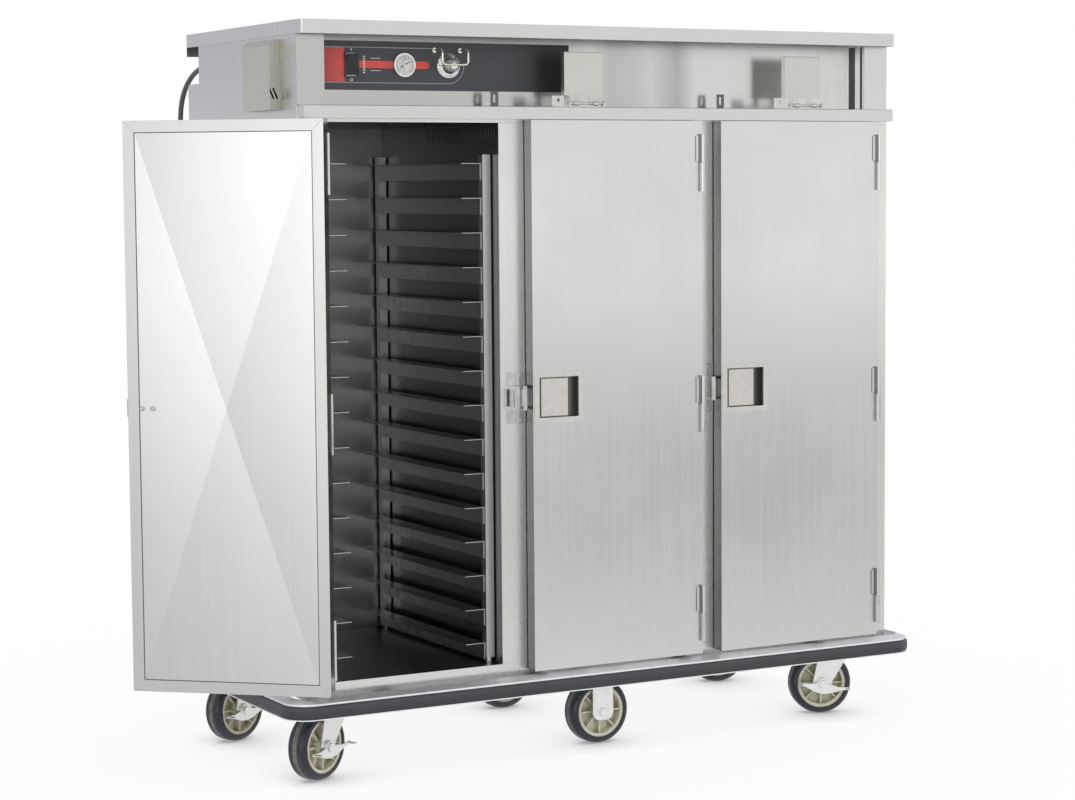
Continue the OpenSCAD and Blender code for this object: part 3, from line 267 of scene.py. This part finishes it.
def tyre_rubber(name):
    """Navy-black flanks, a duller tread and a pale worn band round its middle."""
    x, y, yaw, trail = CASTERS[name]
    c, s = math.cos(math.radians(yaw)), math.sin(math.radians(yaw))
    g = Graph(name + "_tyre_rubber")
    place = g.add("TexCoord").outputs["Object"]
    offset = g.add("VectorMath", {0: place, 1: (x + trail * c, y + trail * s, WHEEL_R)},
                   operation="SUBTRACT").outputs[0]
    along = g.add("VectorMath", {0: offset, 1: (-s, c, 0)}, operation="DOT_PRODUCT").outputs["Value"]
    reach = g.add("VectorMath", {0: offset}, operation="LENGTH").outputs["Value"]
    side = g.math("ABSOLUTE", along)
    squares = g.math("MULTIPLY", reach, reach), g.math("MULTIPLY", side, side)
    radius = g.math("SQRT", g.math("SUBTRACT", *squares))
    tread = g.span(radius, 0, 1, WHEEL_R - 0.0025, WHEEL_R - 0.0005)
    band = g.span(side, 1, 0, 0.004, 0.008)
    marks = g.noise(60, 4.0, 0.65)
    worn = g.math("MULTIPLY", g.math("MULTIPLY", band, tread), g.span(marks, 0.45, 1.0, 0.35, 0.6))
    flank = g.mix(g.span(marks, 0, 1), (0.010, 0.011, 0.020), (0.016, 0.018, 0.032))
    base = g.mix(tread, flank, (0.026, 0.027, 0.029))
    return g.surface(Base_Color=g.mix(worn, base, (0.16, 0.16, 0.155)),
                     Roughness=g.math("ADD", g.span(marks, 0.20, 0.30), g.math("MULTIPLY", tread, 0.25)),
                     Normal=g.normal(g.noise(300, 2.0, 0.6), 0.05, 0.001))


def strip_rubber():
    """The bumper's rubber, with painted light: palest along its middle and in painted shade towards its top
    and bottom.
    """
    g = Graph("bumper_rubber")
    height = g.linear(g.axis(2), 0.159, 0.197)
    cloud = g.noise(9, 4.0, 0.65)
    # painted light and shade across the strip's height
    painted_light_ramp = g.ramp(height, [(0.0, (0.020, 0.021, 0.024)), (0.35, (0.036, 0.038, 0.044)),
                           (0.62, (0.054, 0.057, 0.066)), (0.86, (0.034, 0.036, 0.042)),
                           (1.0, (0.020, 0.021, 0.024))])
    tint = g.mix(g.span(cloud, 0.0, 0.30), painted_light_ramp, (0.030, 0.031, 0.036))
    return g.surface(Base_Color=tint, Roughness=g.span(cloud, 0.36, 0.46),
                     Normal=g.normal(g.noise(500, 2.0, 0.6), 0.06, 0.001))


def panel_film():
    """The overlay's charcoal, nearly black at its right end."""
    g = Graph("panel_overlay")
    share = g.span(g.axis(0), 0, 1, -0.26, -0.10)
    cloud = g.noise(14, 3.0, 0.6)
    base = g.mix(g.span(cloud, 0, 1), (0.048, 0.052, 0.060), (0.055, 0.059, 0.068))
    return g.surface(Base_Color=g.mix(share, base, (0.014, 0.015, 0.018)), Roughness=g.span(cloud, 0.30, 0.36),
                     Normal=g.normal(g.noise(900, 2.0, 0.6), 0.04, 0.0003))


STEEL = (0.66, 0.655, 0.645)
PRESSED = (0.76, 0.765, 0.755)
EYES = (-0.280, 0.320)
OPEN_TURN = math.radians(-221)
m_skin = brushed("stainless_upright_grain", STEEL, 0.24, UPRIGHT)
m_pan = brushed("closed_door_skin", STEEL, 0.24, UPRIGHT, shade=side_shade)
m_level = brushed("stainless_level_grain", STEEL, 0.26, LEVEL, grain=0.008, bump=0.008, edge=0.0002)
m_post = brushed("stainless_post_grain", (0.70, 0.695, 0.68), 0.26, UPRIGHT, grain=0.010, bump=0.008)
m_recess = brushed("recess_sheet", STEEL, 0.22, LEVEL, grain=0.010, bump=0.012, shade=recess_shade)
m_hood = brushed("vent_hood_sheet", (0.60, 0.595, 0.54), 0.30, UPRIGHT, bump=0.012, edge=0.0003,
                 shade=hood_shade)
m_flip = brushed("transport_plate", (0.62, 0.615, 0.58), 0.34, LEVEL, grain=0.015, bump=0.03, spread=0.2)
m_inner = brushed("door_inner_sheet", PRESSED, 0.13, UPRIGHT, fine=10, grain=0.008, bump=0.03, spread=0.1,
                  smudge=0.02, facing=(0, 1, 0))
m_inner_open = brushed("open_door_inner_sheet", PRESSED, 0.13, UPRIGHT, fine=10, grain=0.008, bump=0.03,
                       spread=0.1, smudge=0.02, facing=(-math.sin(OPEN_TURN), math.cos(OPEN_TURN), 0))
m_liner = brushed("liner_sheet", (0.24, 0.24, 0.25), 0.32, UPRIGHT, fine=12, grain=0.03, bump=0.015)
m_base = moulded("base_steel", (0.30, 0.30, 0.31), 0.5)
m_rack = brushed("rack_steel", (0.55, 0.545, 0.535), 0.30, UPRIGHT, grain=0.02, bump=0.01)
m_bright = polished("bright_steel", (0.60, 0.60, 0.59), 0.16)
m_fitting = polished("fitting_steel", (0.62, 0.61, 0.585), 0.24, shade=eye_shade)
m_rail = polished("rail_aluminium", (0.86, 0.87, 0.89), 0.38, 0.0002, metal=0.75, bump=0.0)
m_chrome = polished("chrome", (0.86, 0.86, 0.86), 0.08, 0.0004)
m_guard = polished("guard_wire", (0.80, 0.765, 0.68), 0.14, 0.0004)
m_grip = polished("knob_grip", (0.34, 0.34, 0.34), 0.22, 0.0004)
m_latch = polished("latch_satin", (0.63, 0.615, 0.57), 0.34)
m_pocket = polished("latch_housing_satin", (0.64, 0.635, 0.60), 0.34, shade=pocket_shade)
m_zinc = polished("zinc_plate", (0.80, 0.80, 0.79), 0.38, 0.001)
m_rubber = strip_rubber()
m_hub = hub_plastic()
m_cord = moulded("cord_jacket", (0.085, 0.088, 0.095), 0.48, 0.2, 700)
m_plug = moulded("plug_plastic", (0.05, 0.05, 0.055), 0.45, 0.2, 500, 0.001)
m_panel = panel_film()
m_rocker = moulded("rocker_black", (0.012, 0.012, 0.014), 0.25, 0.05, 500)
m_knob = polished("knob_metal", (0.78, 0.78, 0.78), 0.20, 0.0005)

GIVEN = {
    "face_frame": m_post, "cabinet_skins": m_skin, "compartment_liners": m_liner,
    "roof_cap": m_level, "header_ledge": m_level, "recess_walls": m_recess,
    "base_frame": m_base, "door_hardware": m_bright, "tray_racks": m_rack,
    "control_panel": m_panel, "thermometer": m_chrome, "knob_guard": m_guard,
    "transport_brackets": m_fitting, "vent_cover": m_hood, "bumper_rail": m_rail,
    "bumper_strip_rubber": m_rubber, "cord_gland": m_plug, "power_cord": m_cord,
    "cord_coil": m_cord, "cord_plug": m_plug, "rigid_forks": m_zinc,
    "thermostat_knob": m_knob, "power_rocker": m_rocker,
    "left_flip_plate": m_flip, "right_flip_plate": m_flip,
}
for name, _ in BAYS:
    GIVEN[name + "_door_pan"] = m_skin if name == "left" else m_pan
    GIVEN[name + "_door_liner"] = m_inner_open if name == "left" else m_inner
    GIVEN[name + "_latch_housing"] = m_latch if name == "left" else m_pocket
    GIVEN[name + "_latch_paddle"] = GIVEN[name + "_latch_bolt"] = m_latch
for name in CASTERS:
    GIVEN[name + "_tyre"] = tyre_rubber(name)
    GIVEN[name + "_hub"] = m_hub
    for part in ("_fork", "_pedal"):
        GIVEN[name + part] = m_zinc
for name, node in nodes.items():
    node.data.materials.clear()
    node.data.materials.append(GIVEN[name])

# ---- power cord: its route and coil repeat the CAD's points, in millimetres ----
ROUTE = [
    (-745, 290, 1583), (-745, 303, 1583), (-747, 328, 1577), (-751, 350, 1566), (-756, 368, 1549),
    (-761, 380, 1528), (-765, 387, 1502), (-767, 390, 1472), (-768, 391, 1424), (-762, 392, 1300),
    (-755, 393, 1172), (-748, 394, 1050), (-740, 395, 938), (-730, 397, 812), (-720, 399, 700),
    (-700, 403, 515), (-680, 408, 375), (-665, 412, 296), (-650, 416, 228), (-630, 420, 158),
    (-610, 424, 106), (-590, 428, 68), (-570, 432, 41), (-550, 436, 23), (-528, 440, 11),
    (-505, 443, 6.5), (-480, 445, 6), (-440, 446, 6), (-380, 446, 6), (-310, 446, 6),
    (-230, 446, 6), (-160, 446, 6), (-127, 446, 6),
]
CORD_R = 6
COIL_X, COIL_Y = -115, 446  # where the coil's first turn starts
COIL_STEP = 12.7  # from one turn to the next
COIL_R = 133 / 2 + COIL_STEP / 2
TURN_POINTS = 24
TAIL = 44  # from the coil's last point to the plug


def coil_point(s):
    """A point after s turns. The second turn climbs onto the first one."""
    layer = 0 if s < 0.85 else 1 if s > 1.15 else (1 - math.cos(math.pi * (s - 0.85) / 0.3)) / 2
    r = COIL_R - COIL_STEP * (1 - abs(s - 1))
    a = math.radians(-90 + 360 * s)
    return (COIL_X + r * math.cos(a), COIL_Y + COIL_R + r * math.sin(a), CORD_R + layer * COIL_STEP)


points = ROUTE + [coil_point(k / TURN_POINTS) for k in range(2 * TURN_POINTS + 1)]
points += [(COIL_X + x * TAIL, COIL_Y, CORD_R + COIL_STEP) for x in (0.35, 0.7, 1)]
curve = bpy.data.curves.new("supply_cord", "CURVE")
curve.dimensions = "3D"
curve.bevel_depth = CORD_R / 1000
curve.bevel_resolution = 4
curve.resolution_u = 5
curve.use_fill_caps = True
spline = curve.splines.new("BEZIER")
spline.bezier_points.add(len(points) - 1)
for bp, p in zip(spline.bezier_points, points):
    bp.co = [v / 1000 for v in p]
    bp.handle_left_type = bp.handle_right_type = "AUTO"
cord = bpy.data.objects.new("supply_cord", curve)
scene.collection.objects.link(cord)
curve.materials.append(m_cord)
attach(cord, "cabinet")
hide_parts("power_cord", "cord_coil")


# ---- pieces ----
def piece(name, shape, material, body, place=None, smooth=False):
    """A piece that rides on a body, from points and faces, moved by an optional function of a point."""
    verts, faces = shape
    mesh = bpy.data.meshes.new(name)
    moved = [place(*v) if place else v for v in verts]
    mesh.from_pydata([[c / 1000 for c in v] for v in moved], [], faces)
    bm = bmesh.new()
    bm.from_mesh(mesh)
    bmesh.ops.recalc_face_normals(bm, faces=bm.faces)
    bm.to_mesh(mesh)
    bm.free()
    for face in mesh.polygons:
        face.use_smooth = smooth
    o = bpy.data.objects.new(name, mesh)
    scene.collection.objects.link(o)
    mesh.materials.append(material)
    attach(o, body)
    return o


def plates(outlines, y0, y1):
    """Flat plates with outlines in X and Z, between two depths in Y."""
    verts, faces = [], []
    for outline in outlines:
        n, first = len(outline), len(verts)
        verts += [(x, y0, z) for x, z in outline] + [(x, y1, z) for x, z in outline]
        faces.append([first + k for k in range(n)])
        faces.append([first + n + k for k in reversed(range(n))])
        faces += [[first + k, first + (k + 1) % n, first + n + (k + 1) % n, first + n + k] for k in range(n)]
    return verts, faces


def ribbon(points, width):
    """Quads along a line in X and Z."""
    quads = []
    for (x0, z0), (x1, z1) in zip(points, points[1:]):
        length = math.hypot(x1 - x0, z1 - z0)
        nx, nz = -(z1 - z0) / length * width / 2, (x1 - x0) / length * width / 2
        quads.append([(x0 - nx, z0 - nz), (x1 - nx, z1 - nz), (x1 + nx, z1 + nz), (x0 + nx, z0 + nz)])
    return quads


def turned(profile, segments=48):
    """A profile of (radius, height) turned about the Z axis, with a flat face at each end."""
    verts, faces = [], []
    for r, h in profile:
        for k in range(segments):
            a = 2 * math.pi * k / segments
            verts.append((r * math.cos(a), r * math.sin(a), h))
    for i in range(len(profile) - 1):
        for k in range(segments):
            j = (k + 1) % segments
            faces.append([i * segments + k, i * segments + j, (i + 1) * segments + j, (i + 1) * segments + k])
    faces.append(list(range(segments)))
    faces.append([(len(profile) - 1) * segments + k for k in range(segments)])
    return verts, faces


def arc(x, z, r, a0, a1, steps):
    """Points round a centre in X and Z."""
    return [(x + r * math.cos(math.radians(a0 + (a1 - a0) * k / steps)),
             z + r * math.sin(math.radians(a0 + (a1 - a0) * k / steps))) for k in range(steps + 1)]


PANEL_Y = -241.0  # the control panel's face
CONTROL_Z = 1570.5  # the height of the thermometer and the knob
KNOB_X = -375
GAUGE_X = -486


def on_panel(x):
    """Takes a shape turned about Z to a place on the panel, where it faces the front."""
    return lambda u, v, h: (x + u, PANEL_Y - h, CONTROL_Z + v)


def printed(name, colour, rough=0.32, fade=None):
    """Printed ink. fade is (X at full colour, X at the other colour, that colour)."""
    g = Graph(name)
    cloud = g.noise(40, 2.0, 0.5)
    tint = g.mix(g.span(cloud, 0, 1), scaled(colour, 0.95), scaled(colour, 1.05))
    if fade:
        start, end, other = fade
        tint = g.mix(g.linear(g.axis(0), start, end), tint, other)
    return g.surface(Base_Color=tint, Roughness=g.span(cloud, rough - 0.03, rough + 0.03))


m_red = printed("print_red", (0.78, 0.080, 0.060))
# the red block turns darker towards its left end, beside the recess's left post
m_fade = printed("print_red_fade", (0.42, 0.045, 0.042), fade=(-0.700, -0.645, (0.66, 0.085, 0.070)))
m_line = printed("print_grey", (0.35, 0.36, 0.38))
m_white = printed("print_white", (0.80, 0.80, 0.78))
m_black = printed("print_black", (0.015, 0.015, 0.016))
m_dial = printed("dial_white", (0.86, 0.86, 0.84), 0.4)


def on_film(name, outlines, height, material):
    """Ink of a height on the control panel."""
    piece(name, plates(outlines, PANEL_Y - height, PANEL_Y), material, "cabinet")


def on_dial(name, outlines, low, high, material):
    """Flat parts of the thermometer, between two heights over the panel."""
    piece(name, plates(outlines, PANEL_Y - high, PANEL_Y - low), material, "cabinet")


def spoke(x, degrees, r0, r1, width):
    """A radial line of a scale."""
    c, s = math.cos(math.radians(degrees)), math.sin(math.radians(degrees))
    return ribbon([(x + r0 * c, CONTROL_Z + r0 * s), (x + r1 * c, CONTROL_Z + r1 * s)], width)


block = [(-706, 1532), (-628, 1532), (-628, 1607), (-706, 1607)]
on_film("panel_red_block", [block], 0.12, m_fade)
stripe = [(-648, 1563)] + arc(-430, 1571, 8, -90, 90, 12) + [(-648, 1579)]
on_film("panel_red_stripe", [stripe], 0.2, m_red)
lines = ribbon([(-706, 1608), (-402, 1608)], 1.6)
lines += ribbon([(-706, 1531)] + arc(KNOB_X, 1570, 39, -90, 8, 16), 1.6)
on_film("panel_lines", lines, 0.16, m_line)
marks = [[(-584, z), (-579, z), (-579, z + 2.4), (-584, z + 2.4)] for z in range(1552, 1592, 5)]
marks += [[(x, z), (x + 24, z), (x + 24, z + 1.2), (x, z + 1.2)] for x, z in ((-566, 1584), (-566, 1557))]
marks += [[(-613, 1600), (-611, 1600), (-611, 1606), (-613, 1606)]]
marks += ribbon(arc(-612, 1537.5, 3.0, 0, 360, 16), 1.2)
on_film("panel_marks", marks, 0.26, m_white)

# thermometer: dial, graduation, needle and crystal inside the bezel
piece("gauge_dial", turned([(21.9, 5.0), (21.9, 5.3)]), m_dial, "cabinet", on_panel(GAUGE_X))
ticks = []
for k in range(41):
    r0, width = (15.5, 0.7) if k % 5 == 0 else (17.5, 0.4)
    ticks += spoke(GAUGE_X, 225 - 270 * k / 40, r0, 20, width)
on_dial("gauge_ticks", ticks, 5.3, 5.5, m_black)
on_dial("gauge_zone", ribbon(arc(GAUGE_X, CONTROL_Z, 13.6, 60, 120, 10), 1.2), 5.3, 5.45, m_red)
NEEDLE = ((-12, -0.9), (-4, -1.5), (15, -0.5), (17, 0), (15, 0.5), (-4, 1.5), (-12, 0.9))
a = math.radians(28)
c, d = math.cos(a), math.sin(a)
needle = [(GAUGE_X + u * c - v * d, CONTROL_Z + u * d + v * c) for u, v in NEEDLE]
on_dial("gauge_needle", [needle], 6.0, 6.4, m_black)
piece("gauge_hub", turned([(2.6, 5.3), (2.6, 6.8), (1.6, 7.4)]), m_chrome, "cabinet",
      on_panel(GAUGE_X), True)


def crystal_material():
    """Clear cover with a slight haze."""
    g = Graph("gauge_crystal")
    haze = g.noise(30, 2.0, 0.5)
    return g.surface(Base_Color=(1, 1, 1, 1), Roughness=g.span(haze, 0.0, 0.03), Transmission_Weight=1.0,
                     IOR=1.3, Alpha=0.25)


piece("gauge_crystal", turned([(22, 8.0), (21, 8.5), (12, 9.1), (4, 9.3)]), crystal_material(), "cabinet",
      on_panel(GAUGE_X), True)

# knob: a collar, a grip ring, a bright cap, and the graduation that follows its sloping skirt
for name, profile, material in (
        ("knob_collar", [(18.2, 7.6), (17.2, 9.2), (14.6, 10.8), (14.4, 12.2)], m_grip),
        ("knob_ring", [(13.4, 30.4), (13.2, 31.0), (9.6, 31.2)], m_grip),
        ("knob_cap", [(9.4, 30.6), (9.0, 32.0), (5.0, 32.7), (1.5, 32.9)], m_chrome)):
    piece(name, turned(profile), material, "knob", on_panel(KNOB_X), True)
SKIRT_R, SKIRT_SLOPE, SKIRT_RIM = 27, 3 / 9, 4.5


def on_skirt(x, y, z):
    """Takes ink drawn in X and Z to the knob's skirt."""
    rise = (SKIRT_R - math.hypot(x - KNOB_X, z - CONTROL_Z)) * SKIRT_SLOPE
    return x, PANEL_Y - SKIRT_RIM - rise - y, z


grads = []
for k in range(24):
    grads += spoke(KNOB_X, 15 * k, 20.5, 26.0, 0.8)
piece("knob_graduation", plates(grads, -0.1, 0.2), m_black, "knob", on_skirt)

# dark seams of the doors' inner panels, with painted shadow in them, the seams of their mitred borders, and
# painted shadow in the gaps round the latch paddles
HINGE_X, HINGE_Y = 222, -356
HALF_W, EDGE_Z0, EDGE_Z1 = 225, 207, 1449
BORDER = 25
BORDER_Y = -318.0
INNER_Y = -319.2
PADDLE_X0, PADDLE_X1, PADDLE_Z0, PADDLE_Z1 = -204.9, -136, 784.6, 871.4
PADDLE_Y = -349.75
SEAM = 2.0
OPENED = {"left": OPEN_TURN, "middle": 0.0, "right": 0.0}
m_seam_and_gap_shadow = printed("seam_shadow", (0.11, 0.11, 0.105), 0.5)
m_mitres_and_edge_shadow = printed("mitre_seam", (0.40, 0.40, 0.38), 0.4)


def on_door(bay, hand, turn):
    """Takes a point drawn on a closed right-hand door to its place on the door of a bay."""
    axis_x, axis_y = bay + hand * HINGE_X, HINGE_Y
    c, s = math.cos(turn), math.sin(turn)

    def place(x, y, z):
        u, v = bay + hand * x - axis_x, y - axis_y
        return axis_x + u * c - v * s, axis_y + u * s + v * c, z
    return place


inner_x, inner_z0, inner_z1 = HALF_W - BORDER, EDGE_Z0 + BORDER, EDGE_Z1 - BORDER
for bay_name, bay in BAYS:
    place = on_door(bay * 1000, -1 if bay_name == "left" else 1, OPENED[bay_name])
    x, z0, z1 = inner_x - SEAM / 2 - 0.1, inner_z0 + SEAM / 2 + 0.1, inner_z1 - SEAM / 2 - 0.1
    ring = ribbon([(-x, z0), (x, z0), (x, z1), (-x, z1), (-x, z0)], SEAM)
    piece(bay_name + "_panel_seam", plates(ring, INNER_Y, INNER_Y + 0.25), m_seam_and_gap_shadow, bay_name + "_door",
          place)
    # painted shadow of the gap, laid on the paddle's face
    gap = ribbon([(PADDLE_X1, PADDLE_Z0), (PADDLE_X0, PADDLE_Z0), (PADDLE_X0, PADDLE_Z1),
                  (PADDLE_X1, PADDLE_Z1)], 2.2)
    piece(bay_name + "_paddle_gap", plates(gap, PADDLE_Y, PADDLE_Y + 0.25), m_seam_and_gap_shadow, bay_name + "_paddle",
          place)
    mitres = []
    for sx in (-1, 1):
        for z, way in ((inner_z0, -1), (inner_z1, 1)):
            mitres += ribbon([(sx * inner_x, z), (sx * (HALF_W - 0.5), z + way * (BORDER - 0.5))], 0.9)
    piece(bay_name + "_mitres", plates(mitres, BORDER_Y, BORDER_Y + 0.12), m_mitres_and_edge_shadow, bay_name + "_door",
          place)


def along_x(x, way):
    """Stands an outline drawn in Y and Z at an X, with its depth along X."""
    return lambda u, h, v: (x + way * h, u, v)


# the header ledge's ends
LEDGE_X, LEDGE_INSET = 775, 3
END_X = LEDGE_X - LEDGE_INSET
cap_outline = [(-343.6, 1452.4), (-316, 1452.4), (-316, 1477.6), (-341.2, 1477.6), (-343.6, 1475.2)]
for side_name, sign in (("left", -1), ("right", 1)):
    piece("ledge_end_" + side_name, plates([cap_outline], 0.3, 1.3), m_level, "cabinet",
          along_x(sign * END_X, -sign))

# painted shade: the dark double line at the recess's right end, left out of reflections
m_line_dark = printed("recess_shadow", (0.045, 0.042, 0.038), 0.35)
strips = [[(y0, 1480.5), (y1, 1480.5), (y1, 1629), (y0, 1629)] for y0, y1 in ((-311, -302), (-282, -256))]
end_lines = piece("recess_end_lines", plates(strips, 0.05, 0.25), m_line_dark, "cabinet",
                  along_x(706, -1))
end_lines.visible_glossy = False

# painted shadow on the transport plates' folded top edges
for side_name, x in (("left", -71), ("right", 528)):
    edge = ribbon([(x - 49.5, 1601.8), (x + 49.5, 1601.8)], 1.8)
    piece(side_name + "_flip_edge", plates(edge, -317.3, -317.0), m_mitres_and_edge_shadow, side_name + "_flip")


# ---- floor, backdrop and light ----
def seen_directly(g):
    """1 for camera, glossy and transmission rays, and 0 for the rest."""
    rays = g.add("LightPath").outputs
    either = g.math("ADD", rays["Is Camera Ray"], rays["Is Glossy Ray"], True)
    return g.math("ADD", either, rays["Is Transmission Ray"], True)


def floor_material():
    """White floor that keeps the object's shadow in its lit share and has a painted shadow, from ambient
    occlusion in its glow, deepest where the wheels touch. Metal sees the world instead.
    """
    g = Graph("floor_white")
    share = g.math("MULTIPLY", seen_directly(g), 0.88)
    paint = g.add("BsdfDiffuse", {"Color": (1, 1, 1, 1)}).outputs[0]
    # painted contact shadow: ambient occlusion dims the floor's glow near the wheels
    near = g.add("AmbientOcclusion", {"Distance": 0.21}, samples=16).outputs["AO"]
    level = g.span(near, 0.38, 1.0, 0.15, 0.80)
    glow_with_painted_shadow = g.add("Emission", {"Color": (1, 1, 1, 1), "Strength": level}).outputs[0]
    mixed = g.add("MixShader", {0: share, 1: paint, 2: glow_with_painted_shadow}).outputs[0]
    clear = g.add("BsdfTransparent").outputs[0]
    glossy = g.add("LightPath").outputs["Is Glossy Ray"]
    final = g.add("MixShader", {0: glossy, 1: mixed, 2: clear}).outputs[0]
    g.tree.links.new(final, g.out.inputs["Surface"])
    return g.material


FLOOR_HALF, FLOOR_Z = 60, -0.0006
mesh = bpy.data.meshes.new("floor")
corners = ((-1, -1), (1, -1), (1, 1), (-1, 1))
mesh.from_pydata([(x * FLOOR_HALF, y * FLOOR_HALF, FLOOR_Z) for x, y in corners], [], [(0, 1, 2, 3)])
floor = bpy.data.objects.new("floor", mesh)
scene.collection.objects.link(floor)
mesh.materials.append(floor_material())


def studio_world():
    """White for the camera. Metal sees a pale studio: brightest at eye level, with a grey band over the
    far floor, dimmer overhead and behind the cart, and a card at the front left that fades to one side."""
    g = Graph("studio", "World")
    x, y, z = (g.axis(k, "Generated") for k in range(3))
    height = g.math("ADD", g.math("MULTIPLY", z, 2.0), 0.5, True)
    ahead = [(0.0, 1.0), (0.08, 1.15), (0.14, 1.12), (0.20, 0.56), (0.26, 0.44), (0.33, 0.56),
             (0.39, 1.18), (0.46, 1.40), (0.51, 1.28), (0.58, 0.86), (0.75, 0.95), (1.0, 1.0)]
    aside = [(0.0, 0.72), (0.10, 0.70), (0.15, 0.75), (0.25, 0.88), (0.33, 1.09), (0.41, 1.30), (0.50, 1.34),
             (0.62, 1.30), (0.80, 1.1), (1.0, 1.0)]
    front, corner = (g.greys(height, [(place, v / 2) for place, v in stops]) for stops in (ahead, aside))
    left = g.math("ADD", g.math("MULTIPLY", x, -0.8), g.math("MULTIPLY", y, -0.6))
    sheet = g.mix(g.span(left, 0.0, 1.0, 0.45, 0.93), front, corner)
    behind = g.span(y, 2.0, 1.4, -0.25, 0.55)
    fade = g.linear(y, -0.455, -0.555, 0.55, 1.45)
    reach = g.math("MULTIPLY", g.span(left, 0, 1, 0.80, 0.93), g.span(z, 0, 1, -0.28, -0.05))
    card = g.add("Mix", {0: reach, 2: 1.0, 3: fade}).outputs[0]
    ceiling = g.span(z, 1.0, 0.80, 0.35, 0.62)
    level = g.math("MULTIPLY", g.math("MULTIPLY", behind, card), ceiling)
    cool = g.add("VectorMath", {0: sheet, 1: (0.99, 0.995, 1.06)}, operation="MULTIPLY").outputs[0]
    sheet = g.mix(g.span(y, 0, 1, 0.2, 0.6), sheet, cool)
    metal = g.add("Background", {"Color": sheet, "Strength": level}).outputs[0]
    plain = g.add("Background", {"Color": (1, 1, 1, 1), "Strength": 1.0}).outputs[0]
    glossy = g.add("LightPath").outputs["Is Glossy Ray"]
    mixed = g.add("MixShader", {0: glossy, 1: plain, 2: metal}).outputs[0]
    g.tree.links.new(mixed, g.out.inputs["Surface"])
    return g.material


scene.world = studio_world()


def area_light(name, place, target, size, energy):
    lamp = bpy.data.lights.new(name, "AREA")
    lamp.shape = "RECTANGLE"
    lamp.size, lamp.size_y = size
    lamp.energy = energy
    o = bpy.data.objects.new(name, lamp)
    scene.collection.objects.link(o)
    o.location = place
    aim = Vector(target) - Vector(place)
    o.rotation_mode = "QUATERNION"
    o.rotation_quaternion = aim.to_track_quat("-Z", "Y")


area_light("key", (-2.5, -4.5, 5.0), (0, 0, 0.8), (3.0, 3.0), 25)
